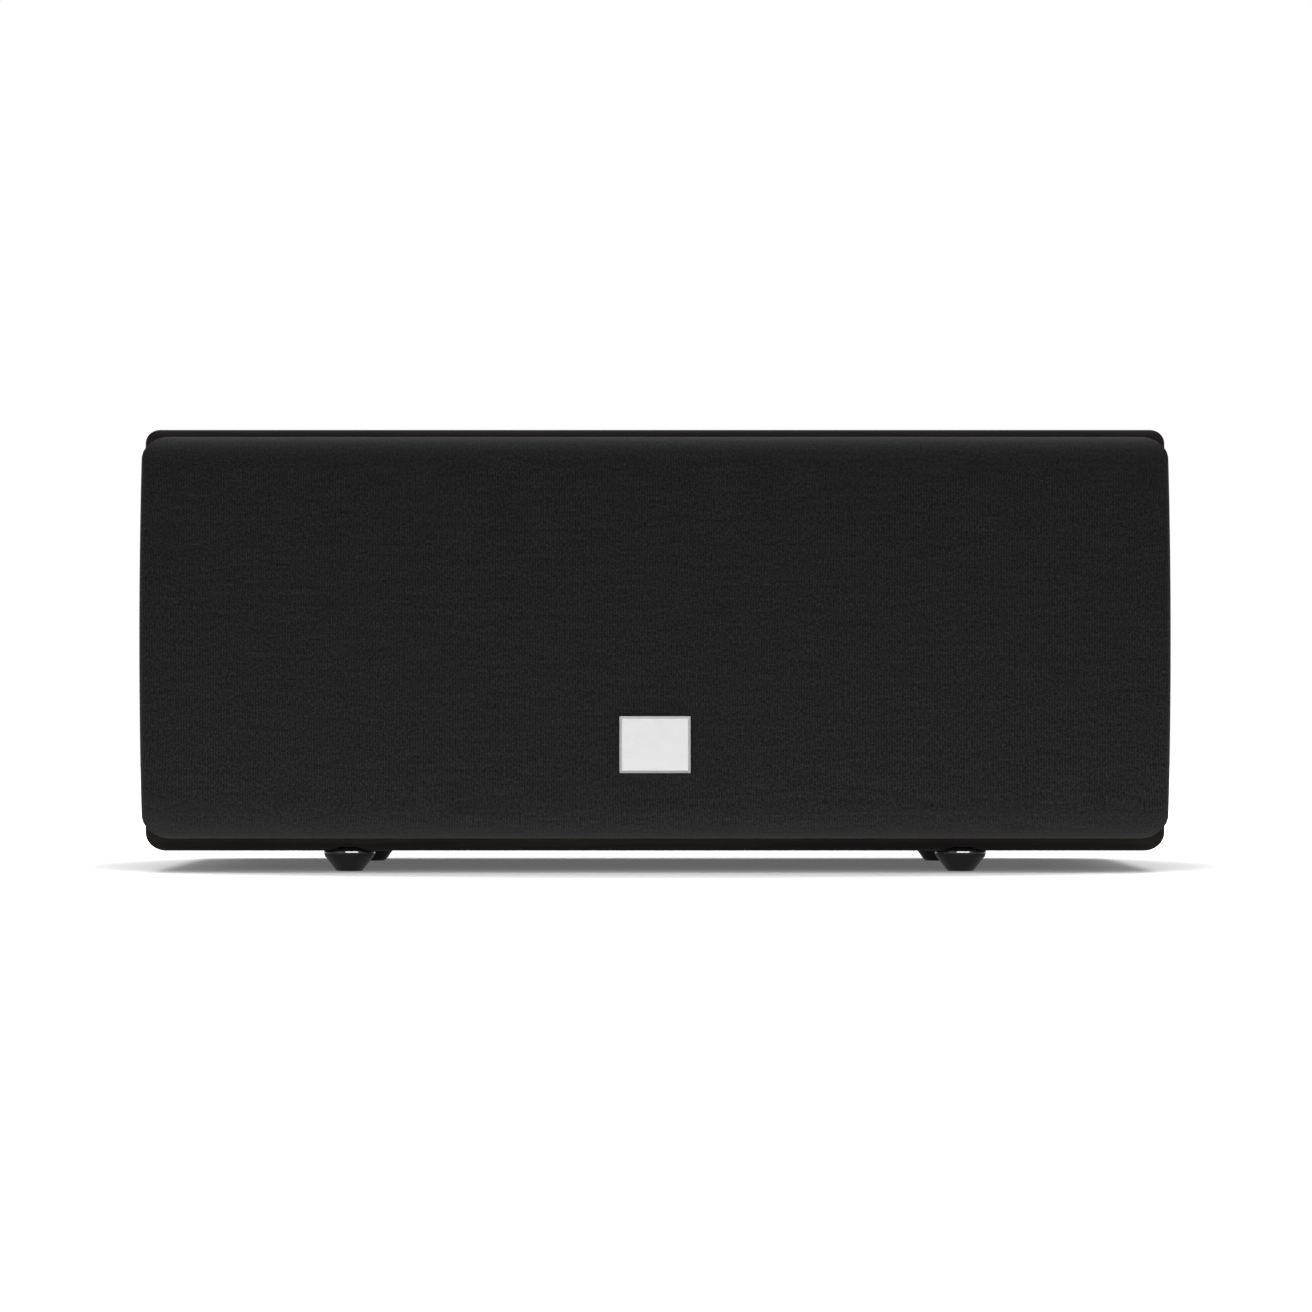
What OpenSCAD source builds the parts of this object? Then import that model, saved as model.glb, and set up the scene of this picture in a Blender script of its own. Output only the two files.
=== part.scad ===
// Center channel speaker with bowed ends, a full-front cloth grille, two woofers and a horn-loaded dome.
// X runs to the right, Y to the back and Z up. The origin lies on the floor under the middle of the box.

/* [Cabinet] */
// Width of the cabinet and the grille at the crown of the bowed ends
cab_w = 400; // [398:1:440]
// Height of the cabinet without its feet
cab_h = 164.6; // [164:0.2:190]
// Depth of the cabinet without the grille
cab_d = 196; // [190:1:240]
// Thickness of the top, bottom and end walls
wall_t = 12; // [10:0.5:12.5]
// Radius of the long arc that each end follows
end_arc_r = 2700; // [1800:50:4000]
// Radius of the two upper corners, seen from the front
corner_top_r = 6; // [4:0.5:8]
// Radius of the two lower corners, seen from the front
corner_low_r = 8; // [5:0.5:10]
// Roundover along the top front edge
edge_top_r = 2.5; // [1:0.5:4]
// Roundover along the bottom front edge
edge_low_r = 5; // [2:0.5:7]
// Roundover along the front edge of each bowed end
edge_end_r = 1; // [0.5:0.5:3]
// Radius of the corners inside the wrap
corner_in_r = 4; // [2:0.5:6]
// Glue gap around each panel and brace inside the wrap
panel_gap = 0.1; // [0.05:0.05:0.3]

/* [Panels] */
// Thickness of the front baffle
baffle_t = 15; // [14:0.5:18]
// Thickness of the rear panel
back_t = 12; // [9:0.5:15]
// Depth of the rear panel below the back edge of the wrap
back_recess = 3; // [2.8:0.1:6]
// Thickness of each brace
brace_t = 12; // [9:0.5:15]
// Distance between the two braces, middle to middle
brace_pitch = 124; // [118:1:128]
// Border above and below the window in each brace
brace_border_z = 16; // [14:0.5:30]
// Border in front of and behind the window in each brace
brace_border_y = 17; // [15:0.5:30]
// Corner radius of the window in each brace
brace_window_r = 18; // [8:1:30]

/* [Feet] */
// Height of the cabinet above the floor
foot_h = 8; // [6:0.5:14]
// Radius of a foot at its shoulder
foot_top_r = 10; // [9:0.5:13]
// Radius of a foot where it meets the floor
foot_base_r = 5.5; // [5:0.25:8]
// Radius of the rounded shoulder of a foot
foot_shoulder_r = 2.4; // [1:0.2:3]
// Bevel around the base of a foot
foot_bevel = 0.5; // [0.2:0.1:0.6]
// Depth of the pocket in the wrap that a foot seats in
foot_seat = 1.6; // [1:0.1:3]
// Side clearance of a foot in its pocket
foot_gap = 0.15; // [0.1:0.05:0.4]
// Distance between left and right feet
foot_pitch_x = 240; // [200:1:300]
// Distance between front and rear feet
foot_pitch_y = 150; // [120:1:158]
// Distance from the front of the cabinet to the middle of a front foot
foot_inset = 11; // [10.5:0.5:20]
// Radius of the screw head under a foot
foot_head_r = 3.4; // [3:0.1:4]
// Height of the screw head under a foot
foot_head_h = 2.2; // [1.5:0.1:3]
// Depth of the screw head below the floor face of a foot
foot_head_deep = 1; // [0.6:0.1:2]
// Radius of the shank of a foot screw
foot_shank_r = 2; // [1.5:0.1:2.5]
// Length of a foot screw above the top of its foot
foot_bite = 8; // [5:0.5:8.5]

/* [Grille] */
// Depth of the grille in front of the cabinet
grille_d = 14.1; // [13.5:0.1:18]
// Gap between the grille and the front of the cabinet
grille_gap = 0.3; // [0.2:0.1:0.6]
// Margin of cabinet that shows above the grille
grille_top_margin = 3; // [2:0.1:5]
// Margin of cabinet that shows below the grille
grille_low_margin = 5; // [2:0.1:6]
// Radius that rolls the top and bottom edges of the grille back
grille_roll_r = 13; // [6:0.5:13.2]
// Radius on the front edge of each bowed end of the grille
grille_end_r = 3; // [1.5:0.5:5]
// Radius of the grille's corners, seen from the front
grille_corner_r = 10.5; // [6:0.5:12]
// Thickness of the grille cloth
cloth_t = 0.8; // [0.5:0.1:1.2]
// Width of the cloth hem turned in behind the frame
hem_w = 6; // [3:0.5:6]
// Air between the cloth and the frame
cloth_gap = 0.1; // [0.05:0.05:0.3]
// Wall of the grille frame
frame_t = 3; // [2:0.25:3.5]
// Radius of each round window in the grille frame
frame_window_r = 59; // [56:0.5:60]
// Width of the middle window in the grille frame
frame_window_w = 102; // [90:1:106]
// Height of the middle window in the grille frame
frame_window_h = 126; // [110:1:130]
// Corner radius of the middle window
frame_window_corner_r = 14; // [8:1:24]
// Thickness of the stiffening rim round each round window
rim_t = 2; // [1.5:0.25:2.5]
// Depth of the stiffening rim
rim_d = 5; // [3:0.5:6]
// Radius of a peg on the grille frame
peg_r = 3; // [2.5:0.1:3.5]
// Length of a peg behind the grille
peg_l = 9; // [7:0.5:10]
// Radius of the boss that carries a peg
peg_boss_r = 5.5; // [4.5:0.25:6]
// Distance of the outer pegs from the ends of the cabinet
peg_end = 25; // [24:0.5:27]
// Distance of all pegs from the top and bottom of the cabinet
peg_edge = 20.8; // [20:0.1:21]
// Distance of the inner pegs from the tweeter's faceplate
peg_face_gap = 10; // [8:0.5:12]
// Radial clearance of a peg in its rubber socket
peg_gap = 0.05; // [0.03:0.01:0.1]
// Outer radius of a peg socket
socket_r = 5; // [4.5:0.25:6]
// Depth of a peg socket in the baffle
socket_l = 12; // [11:0.5:13]
// Side clearance of a socket in the baffle
socket_gap = 0.05; // [0.03:0.01:0.2]

/* [Badge] */
// Width of the bare plate on the grille
badge_w = 27.5; // [20:0.5:36]
// Height of the bare plate
badge_h = 22; // [16:0.5:24]
// Thickness of the plate
badge_t = 1.6; // [1:0.1:3]
// Width of the bevel around the plate
badge_bevel = 1; // [0.4:0.1:1.4]
// Height of the middle of the plate above the floor
badge_z = 49.6; // [46:0.1:52]
// Radius of the two studs behind the plate
stud_r = 1.2; // [0.8:0.1:1.5]
// Distance between the two studs
stud_pitch = 16; // [10:0.5:18]
// Radial clearance of a stud in the cloth and the frame
stud_gap = 0.1; // [0.05:0.05:0.3]
// Margin of the frame's tongue around the plate
tongue_margin = 3.5; // [2:0.5:5]

/* [Woofers] */
// Distance between the two woofers, middle to middle
woofer_pitch = 248; // [246:0.5:250]
// Radius of the basket's flange
basket_r = 59; // [58:0.25:59.5]
// Thickness of the basket's flange, let into the baffle
basket_flange_t = 4; // [3:0.25:5]
// Outer radius of the basket just behind its flange
basket_neck_r = 48.2; // [47.5:0.1:49]
// Thickness of the basket's wall
basket_t = 2; // [1.4:0.1:2.2]
// Depth of the whole woofer behind the front of the baffle
woofer_depth = 63.2; // [62:0.1:72]
// Side clearance of the flange and the basket in the baffle
driver_gap = 0.3; // [0.2:0.05:0.5]
// Number of windows round the basket
basket_windows = 6; // [4:1:6]
// Width of one basket window
basket_window_w = 24; // [18:0.5:26]
// Radius of the circle of mounting screws
woofer_bolt_r = 56; // [55.5:0.1:56.2]
// Outer radius of the cone
cone_r = 40; // [38:0.25:41]
// Depth of the cone from its rim to the voice coil
cone_depth = 18; // [15:0.5:19]
// Thickness of the cone's paper
cone_t = 0.7; // [0.4:0.1:1]
// Width of the roll of the surround
roll_w = 7; // [6:0.25:7.5]
// Thickness of the surround's rubber
surround_t = 0.8; // [0.5:0.1:1]
// Radius of the dust cap
cap_r = 15; // [14:0.25:17]
// Height of the dust cap's dome
cap_h = 6; // [4:0.5:8]
// Radius of the voice coil's former
coil_r = 12.9; // [12.4:0.1:13.2]
// Thickness of the former
former_t = 0.3; // [0.2:0.05:0.4]
// Thickness of the winding
winding_t = 0.6; // [0.4:0.05:0.7]
// Radial air gap on each side of the coil
coil_gap = 0.4; // [0.35:0.05:0.6]
// Thickness of the spider's cloth
spider_t = 0.5; // [0.3:0.05:0.7]
// Depth of the ledge that holds the spider
spider_z = 30; // [29:0.25:30.5]
// Height of the spider's corrugations
spider_wave = 0.9; // [0.5:0.1:1.3]
// Radius of the top plate
top_plate_r = 36; // [34:0.5:38]
// Thickness of the top plate
top_plate_t = 5; // [4:0.25:6]
// Outer radius of the ring magnet
magnet_r = 40; // [38:0.5:44]
// Inner radius of the ring magnet
magnet_hole_r = 20; // [17:0.5:24]
// Thickness of the back plate
back_plate_t = 5; // [4:0.25:6]
// Radius of the vent through the pole
vent_r = 5; // [3:0.5:7]
// Radius of the mounting screws' shanks
screw_r = 1.8; // [1.5:0.1:2]
// Radius of the mounting screws' heads
screw_head_r = 2.9; // [2.6:0.1:2.9]
// Height of the mounting screws' heads
screw_head_h = 1.3; // [0.8:0.1:1.6]
// Length of the mounting screws behind the flange
screw_bite = 9; // [7:0.5:9.5]
// Radial clearance of a screw in its hole
screw_gap = 0.05; // [0.03:0.01:0.2]

/* [Tweeter] */
// Width and height of the waveguide's faceplate
face_w = 104; // [101:0.5:106]
// Corner radius of the faceplate
face_corner_r = 8; // [6.5:0.5:12]
// Thickness of the faceplate, let into the baffle
face_t = 4; // [3:0.25:5]
// Border of the faceplate left and right of the horn's mouth
horn_side = 12; // [11:0.5:16]
// Border of the faceplate above and below the horn's mouth
horn_top = 16; // [14:0.5:20]
// Depth of the horn from its mouth to the throat
horn_depth = 21; // [19:0.5:22]
// Radius of the throat
throat_r = 14; // [13.5:0.1:14.4]
// Wall of the horn
horn_t = 2.2; // [1.6:0.1:2.6]
// Outer radius of the ring behind the horn
horn_ring_r = 32; // [30:0.5:34]
// Distance of the faceplate's screws from its edges
face_screw_edge = 6; // [5.5:0.25:6.5]
// Radius of the dome
dome_r = 12.6; // [12.2:0.1:12.8]
// Height of the dome
dome_h = 6; // [4:0.5:6.5]
// Thickness of the dome's cloth
dome_t = 0.4; // [0.3:0.05:0.5]
// Thickness of the tweeter's top plate
tweeter_plate_t = 3; // [2.5:0.25:4]
// Radius of the tweeter's magnet
tweeter_magnet_r = 34; // [30:0.5:37]
// Height of the tweeter's magnet
tweeter_magnet_t = 10; // [8:0.5:14]
// Thickness of the tweeter's back plate
tweeter_back_t = 4; // [3:0.5:5]

/* [Rear] */
// Distance of the port's middle from the left end wall, seen from the front
port_end = 70; // [64:1:78]
// Inner radius of the port tube
port_r = 19; // [16:0.5:20]
// Wall of the port tube
port_t = 2; // [1.5:0.25:3]
// Length of the port tube inside the rear panel's back face
port_l = 88; // [60:1:92]
// Radius of the flare at the port's mouth
flare_r = 8; // [5:0.5:9]
// Width of the lip around the port's mouth
port_lip = 4; // [3:0.5:6]
// Thickness of the lips of the port and the terminal cup
lip_t = 2.5; // [2:0.1:2.8]
// Width of the terminal cup's well
cup_w = 60; // [50:1:66]
// Height of the terminal cup's well
cup_h = 40; // [34:1:46]
// Depth of the terminal cup's well
cup_d = 24; // [22:0.5:28]
// Wall of the terminal cup
cup_t = 2; // [1.5:0.25:2.5]
// Width of the lip around the cup
cup_lip = 9; // [8.5:0.25:12]
// Corner radius of the well
cup_corner_r = 7; // [4:0.5:10]
// Side clearance of the cup and the port in the rear panel
cup_gap = 0.15; // [0.1:0.05:0.5]
// Distance between the two binding posts
post_pitch = 19; // [18:0.25:22]
// Outer radius of a binding post
post_r = 3; // [2.8:0.1:3.4]
// Radius of the plug bore in a binding post
plug_r = 2; // [1.9:0.05:2.2]
// Depth of the plug bore
plug_l = 16; // [12:0.5:17]
// Length of a post outside the cup's floor
post_l = 21; // [19:0.5:22]
// Length of a post's tail inside the cabinet
tail_l = 10; // [8:0.5:14]
// Radius of the collar at the foot of a post
collar_r = 5.5; // [4.8:0.1:6]
// Height of the collar at the foot of a post
collar_h = 2; // [1.5:0.25:3]
// Radius of a knob
knob_r = 6.5; // [6:0.25:7]
// Length of a knob
knob_l = 19.5; // [17:0.5:19.5]
// Number of finger flutes round a knob
knob_flutes = 8; // [6:1:10]
// Radius of one flute
flute_r = 1.2; // [0.8:0.1:1.5]
// Outer radius of the threaded insert in a knob
insert_r = 4.5; // [4.2:0.1:4.8]
// Length of the threaded insert
insert_l = 8; // [6:0.5:10]
// Running clearance on the posts and the inserts
run_gap = 0.08; // [0.04:0.01:0.1]
// Distance across the corners of a nut, halved
nut_r = 5.5; // [5:0.25:6.5]
// Height of a nut
nut_h = 3; // [2:0.25:4]
// Radius of the cup's screws
cup_screw_r = 1.4; // [1.2:0.1:1.5]
// Radius of the heads of the cup's screws
cup_head_r = 2.5; // [2.2:0.1:2.7]

/* [Crossover] */
// Length of the crossover board along X
board_w = 92; // [88:1:98]
// Depth of the crossover board along Y
board_d = 72; // [70:1:80]
// Thickness of the board
board_t = 1.6; // [1.2:0.2:2]
// Distance of the board's left edge from the middle of the cabinet
board_x = 78; // [76:1:80]
// Distance of the board's rear edge from the rear panel
board_rear = 31; // [25:1:34]
// Height of the board above the cabinet's floor
spacer_h = 5; // [3:0.5:8]
// Radius of a spacer
spacer_r = 3.5; // [3:0.25:4]
// Radius of the board's screws
board_screw_r = 1.5; // [1.2:0.1:1.7]
// Distance of the board's screws from its edges
board_screw_edge = 5; // [4.5:0.5:6]
// Outer radius of a coil
choke_r = 17; // [14:0.5:18]
// Radius of the hole in a coil
choke_hole_r = 7; // [5:0.5:9]
// Height of a coil
choke_h = 14; // [10:0.5:18]
// Radius of a capacitor
cap_body_r = 6; // [4:0.25:6.5]
// Length of a capacitor
cap_body_l = 28; // [20:1:30]
// Distance between neighbouring capacitors
cap_pitch = 14.5; // [13.5:0.25:16]
// Length of the cement resistor
resistor_l = 22; // [14:1:24]
// Width and height of the cement resistor
resistor_w = 9; // [6:0.5:10]
// Radius of one lead of the wiring
lead_r = 1.1; // [0.8:0.1:1.2]

/* [Damping] */
// Thickness of a damping pad
pad_t = 14; // [8:1:20]
// Width of a damping pad
pad_w = 96; // [60:1:100]
// Length of a damping pad
pad_l = 92; // [60:1:96]
// Air between a damping pad and the top wall
pad_gap = 0.3; // [0.2:0.1:0.6]

/* [Hidden] */
$fn = 64;
big_fn = 720;
eps = 1;
// Small overhang that lets a corner's arc cross the bowed end cleanly
corner_bite = 0.03;

z_mid = foot_h + cab_h / 2;
z_low = foot_h;
z_top = foot_h + cab_h;
total_d = cab_d + grille_gap + grille_d + badge_t;
y_back = total_d / 2;
y_front = y_back - cab_d;
y_grille = y_front - grille_gap;
y_cloth = y_grille - grille_d;
y_baffle_rear = y_front + baffle_t;
y_panel = y_back - back_recess;
y_panel_front = y_panel - back_t;
z_floor_in = z_low + wall_t;
z_roof_in = z_top - wall_t;
foot_top_z = foot_h + foot_seat;
foot_y = y_front + foot_inset;
woofer_x = woofer_pitch / 2;
port_x = cab_w / 2 - wall_t - port_end;
peg_x = cab_w / 2 - peg_end;
peg_z = cab_h / 2 - peg_edge;
inner_peg_x = face_w / 2 + peg_face_gap;
grille_low_z = z_low + grille_low_margin;
grille_top_z = z_top - grille_top_margin;
frame_in = cloth_t + cloth_gap;
web_back = grille_d - frame_in - frame_t;

// Woofer depths, all measured back from the front of the baffle
ledge_z = 1;
lip_gap = 0.05;
rim_z = ledge_z;
cone_neck_z = rim_z + cone_depth;
coil_in_r = coil_r - former_t;
winding_r = coil_r + winding_t;
gap_out_r = winding_r + coil_gap;
pole_r = coil_in_r - coil_gap;
spider_step = 1.5;
ledge_in_r = top_plate_r - 3.5;
basket_floor_z = spider_z + 7;
basket_floor_t = 2.2;
motor_z = basket_floor_z + basket_floor_t;
magnet_z = motor_z + top_plate_t;
yoke_z = woofer_depth - back_plate_t;
surround_out_r = cone_r + roll_w + 0.5;
gasket_r = woofer_bolt_r - screw_head_r - 0.1;
ledge_out_r = gasket_r + 0.3;

magnet_bevel = 1;

// The horn's mouth and the faceplate's screws, from the middle of the faceplate
horn_a = face_w / 2 - horn_side;
horn_b = face_w / 2 - horn_top;
face_bolt = face_w / 2 - face_screw_edge;

// Tweeter depths, measured the same way
tweeter_front_z = horn_depth + 3;
tweeter_pole_z = tweeter_front_z + 0.2;
tweeter_yoke_z = tweeter_front_z + tweeter_plate_t + tweeter_magnet_t;
dome_z = tweeter_front_z - 0.3;
tweeter_coil_t = 0.4;
tweeter_gap_r = dome_r - 0.1 + tweeter_coil_t + coil_gap;
tweeter_pole_r = dome_r - 0.3 - coil_gap;
dome_roll_r = 1.6;

// Depths in the terminal cup, measured forward from the rear panel's outer face
knob_tail_z = cup_d - collar_h - 0.3;
knob_end_z = knob_tail_z - knob_l;
insert_z = knob_tail_z - 1.5 - insert_l;
post_end_z = cup_d - post_l;

board_z = z_floor_in + spacer_h;
board_top_z = board_z + board_t;
board_y0 = y_panel_front - board_rear - board_d;
part_gap = 3;
choke_x = 2 * board_screw_edge + choke_r;
choke_y = board_d - choke_r - 2 * part_gap;
choke_bevel = 1;
board_bite = 6;
shoulder_steps = 12;

horn_corner_r = 16;
horn_sides = 44;
horn_steps = 12;
dome_seat_r = 20;
cup_screw_bite = 8;
stud_l = 6;
gasket_front_z = -1.4;
gasket_rear_z = ledge_z - surround_t;
cone_rim_in = cone_r - 2;
cone_steps = 10;
spider_steps = 40;
spider_turns = 4;
screw_length = basket_flange_t + screw_bite - 1;

// The tag strips lie against the baskets' sloping legs, behind the baffle, and on the tweeter's back
leg_front_z = basket_flange_t + 2;
leg_rear_z = spider_z + spider_step;
waist_r = top_plate_r + 5;
leg_slope = (basket_neck_r - waist_r) / (leg_rear_z - leg_front_z);
leg_tilt = atan(leg_slope);
strip_z = baffle_t + 7;
strip_r = basket_neck_r - leg_slope * (strip_z - leg_front_z) + 0.05;
strip_l = 10;
strip_t = 1.5;
tag_l = 6;
tag_pitch = 9;

lead_steps = 4;
lead_sides = 8;
lead_gap = 0.3;
solder_gap = 0.8;

// Drawing planes: local X is X and local Y is Z. Local Z runs forward here and backward in behind().
module ahead(x, y, z) {
    translate([x, y, z]) rotate([90, 0, 0]) children();
}
module behind(x, y, z) {
    translate([x, y, z]) rotate([90, 0, 0]) mirror([0, 0, 1]) children();
}
module both_sides() {
    children();
    mirror([1, 0, 0]) children();
}

// Flat outlines
module rounded_rect(w, h, r) {
    square([w - 2 * r, h], center = true);
    square([w, h - 2 * r], center = true);
    for (x = [-1, 1], y = [-1, 1])
        translate([x * (w / 2 - r), y * (h / 2 - r)]) circle(r);
}
// A rectangle from the origin whose far corner is rounded; the straight sides may run on past it
module round_quarter(w, h, r, run) {
    square([w + run, h - r]);
    square([w - r, h]);
    if (r > 0) translate([w - r, h - r]) circle(r);
}

// A disc so large that its rim is the gentle bow of one end, rounded along its front edge
module bow_disc(inset, depth, edge_r) {
    r = end_arc_r - inset;
    translate([cab_w / 2 - end_arc_r, z_mid, 0]) rotate_extrude($fn = big_fn) {
        if (edge_r > 0) {
            square([r, depth - edge_r]);
            square([r - edge_r, depth]);
            translate([r - edge_r, depth - edge_r]) circle(edge_r);
        } else {
            square([r, depth]);
        }
    }
}
// Half width at which a corner arc of radius r, ending at height h from the middle, meets the bow
function corner_reach(inset, h, r) =
    cab_w / 2 - end_arc_r + sqrt(pow(end_arc_r - inset - r, 2) - pow(h - r, 2)) + r + corner_bite;

// A block with bowed ends, rounded corners and rolled front edges, drawn from local Z 0 forward
module bowed_block(inset, depth, low, top, low_corner, top_corner, low_edge, top_edge, end_edge) {
    up = top - z_mid;
    down = z_mid - low;
    intersection() {
        bow_disc(inset, depth, end_edge);
        mirror([1, 0, 0]) bow_disc(inset, depth, end_edge);
        translate([0, z_mid, 0]) rotate([0, -90, 0]) linear_extrude(2 * cab_w, center = true) {
            round_quarter(depth, up, top_edge, 0);
            mirror([0, 1]) round_quarter(depth, down, low_edge, 0);
        }
        translate([0, z_mid, -eps]) linear_extrude(depth + 2 * eps) for (s = [0, 1]) mirror([s, 0]) {
            round_quarter(corner_reach(inset, up, top_corner), up, top_corner, 10);
            mirror([0, 1]) round_quarter(corner_reach(inset, down, low_corner), down, low_corner, 10);
        }
    }
}
module grille_form(inset, rear, front) {
    translate([0, 0, rear])
        bowed_block(inset, front - rear, grille_low_z + inset, grille_top_z - inset,
            grille_corner_r - inset / 2, grille_corner_r - inset / 2,
            grille_roll_r - inset, grille_roll_r - inset, max(grille_end_r - inset, 0));
}
// A plug that fills the inside of the wrap with a gap all round
module inner_block(gap, depth) {
    bowed_block(wall_t + gap, depth, z_floor_in + gap, z_roof_in - gap,
        corner_in_r - gap, corner_in_r - gap, 0, 0, 0);
}

// Cabinet
module cabinet_shell() {
    color([0.2, 0.13, 0.11]) difference() {
        ahead(0, y_back, 0)
            bowed_block(0, cab_d, z_low, z_top, corner_low_r, corner_top_r,
                edge_low_r, edge_top_r, edge_end_r);
        ahead(0, y_back + eps, 0) inner_block(0, cab_d + 2 * eps);
        each_foot() {
            translate([0, 0, foot_h - eps]) cylinder(r = foot_top_r + foot_gap, h = foot_seat + eps);
            cylinder(r = foot_shank_r + screw_gap, h = foot_top_z + foot_bite);
        }
        each_board_screw()
            translate([0, 0, z_floor_in - board_bite - eps])
                cylinder(r = board_screw_r + screw_gap, h = board_bite + 2 * eps);
    }
}
module front_baffle() {
    color([0.28, 0.24, 0.2]) difference() {
        ahead(0, y_baffle_rear, 0) inner_block(panel_gap, baffle_t);
        each_woofer() {
            translate([0, 0, -eps]) cylinder(r = basket_r + driver_gap, h = basket_flange_t + eps);
            cylinder(r = basket_neck_r + driver_gap, h = baffle_t + eps);
            each_woofer_screw() cylinder(r = screw_r + screw_gap, h = basket_flange_t + screw_bite);
        }
        behind(0, y_front, z_mid) {
            translate([0, 0, -eps]) linear_extrude(face_t + eps)
                rounded_rect(face_w + 2 * driver_gap, face_w + 2 * driver_gap, face_corner_r + driver_gap);
            linear_extrude(baffle_t + eps)
                rounded_rect(2 * (horn_a + horn_t) + 2, 2 * (horn_a + horn_t) + 2, horn_corner_r);
            each_face_screw() cylinder(r = screw_r + screw_gap, h = face_t + screw_bite);
        }
        each_peg() translate([0, 0, -socket_l]) cylinder(r = socket_r + socket_gap, h = socket_l + eps);
    }
}
module back_panel() {
    color([0.16, 0.15, 0.14]) difference() {
        ahead(0, y_panel, 0) inner_block(panel_gap, back_t);
        ahead(0, y_panel + eps, z_mid) linear_extrude(back_t + 2 * eps)
            rounded_rect(cup_w + 2 * (cup_t + cup_gap), cup_h + 2 * (cup_t + cup_gap),
                cup_corner_r + cup_t + cup_gap);
        ahead(-port_x, y_panel + eps, z_mid) cylinder(r = port_r + flare_r + cup_gap, h = back_t + 2 * eps);
        ahead(0, y_panel, z_mid) each_cup_screw()
            translate([0, 0, -eps]) cylinder(r = cup_screw_r + screw_gap, h = cup_screw_bite + eps);
    }
}
module brace(side) {
    l = y_panel_front - y_baffle_rear - 2 * panel_gap;
    h = z_roof_in - z_floor_in - 2 * panel_gap;
    color([0.45, 0.36, 0.26])
        translate([side * brace_pitch / 2, (y_panel_front + y_baffle_rear) / 2, z_mid])
            rotate([90, 0, 90]) linear_extrude(brace_t, center = true) difference() {
                square([l, h], center = true);
                rounded_rect(l - 2 * brace_border_y, h - 2 * brace_border_z, brace_window_r);
            }
}

// Feet
module each_foot() {
    for (x = [-1, 1], y = [0, 1])
        translate([x * foot_pitch_x / 2, foot_y + y * foot_pitch_y, 0]) children();
}
module foot(x, y) {
    shoulder = [foot_top_r - foot_shoulder_r, foot_top_z - foot_shoulder_r];
    heel = [foot_base_r, foot_bevel];
    reach = norm(shoulder - heel);
    lean = atan2(shoulder[1] - heel[1], shoulder[0] - heel[0]) - asin(foot_shoulder_r / reach);
    round = [for (i = [0 : shoulder_steps]) let(a = lean - 90 + (180 - lean) * i / shoulder_steps)
        shoulder + foot_shoulder_r * [cos(a), sin(a)]];
    color([0.04, 0.04, 0.045])
        translate([x * foot_pitch_x / 2, foot_y + y * foot_pitch_y, 0]) difference() {
            rotate_extrude() polygon(concat(
                [[0, 0], [foot_base_r - foot_bevel, 0], heel], round, [[0, foot_top_z]]));
            translate([0, 0, -eps])
                cylinder(r = foot_head_r + screw_gap, h = foot_head_deep + foot_head_h + eps);
            cylinder(r = foot_shank_r + screw_gap, h = foot_top_z + eps);
        }
}
module foot_screws() {
    color([0.3, 0.3, 0.32]) each_foot() translate([0, 0, foot_head_deep]) {
        cylinder(r = foot_head_r, h = foot_head_h);
        cylinder(r = foot_shank_r, h = foot_top_z + foot_bite - foot_head_deep);
    }
}

// Grille, drawn forward from its own back plane
module each_peg() {
    for (x = [-peg_x, -inner_peg_x, inner_peg_x, peg_x], z = [-1, 1])
        ahead(x, y_front, z_mid + z * peg_z) children();
}
module studs(r, l) {
    for (x = [-1, 1]) translate([x * stud_pitch / 2, badge_z, grille_d - l]) cylinder(r = r, h = l);
}
module grille_cloth() {
    color([0.1, 0.1, 0.1]) ahead(0, y_grille, 0) difference() {
        grille_form(0, 0, grille_d);
        grille_form(cloth_t, cloth_t, grille_d - cloth_t);
        grille_form(hem_w, -eps, 2 * cloth_t);
        translate([0, 0, eps]) studs(stud_r + stud_gap, cloth_t + 2 * eps);
    }
}
module frame_windows() {
    for (x = [-1, 1]) translate([x * woofer_x, z_mid]) circle(frame_window_r);
    difference() {
        translate([0, z_mid]) rounded_rect(frame_window_w, frame_window_h, frame_window_corner_r);
        badge_tongue();
    }
}
// The tongue of the frame that backs the plate, rising from the lower border of the middle window
module badge_tongue() {
    w = badge_w + 2 * tongue_margin;
    top = badge_z + badge_h / 2 + tongue_margin;
    low = z_mid - frame_window_h / 2 - eps;
    r = tongue_margin;
    translate([0, (top + low) / 2]) rounded_rect(w, top - low, r);
}
module grille_frame() {
    color([0.07, 0.07, 0.075]) ahead(0, y_grille, 0) difference() {
        union() {
            difference() {
                grille_form(frame_in, frame_in, grille_d - frame_in);
                grille_form(frame_in + frame_t, -eps, web_back);
            }
            for (x = [-1, 1]) translate([x * woofer_x, z_mid, web_back - rim_d])
                cylinder(r = frame_window_r + rim_t, h = rim_d + frame_t / 2);
            for (x = [-peg_x, -inner_peg_x, inner_peg_x, peg_x], z = [-1, 1])
                    translate([x, z_mid + z * peg_z, 0]) {
                cylinder(r = peg_boss_r, h = web_back + frame_t / 2);
                translate([0, 0, -peg_l]) cylinder(r = peg_r, h = peg_l + eps);
            }
        }
        translate([0, 0, -eps]) linear_extrude(grille_d + 2 * eps) frame_windows();
        studs(stud_r + stud_gap, grille_d);
    }
}
module grille_sockets() {
    color([0.05, 0.05, 0.05]) each_peg() translate([0, 0, -socket_l]) difference() {
        cylinder(r = socket_r, h = socket_l);
        translate([0, 0, socket_l - peg_l - 1]) cylinder(r = peg_r + peg_gap, h = peg_l + 2);
    }
}
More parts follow.
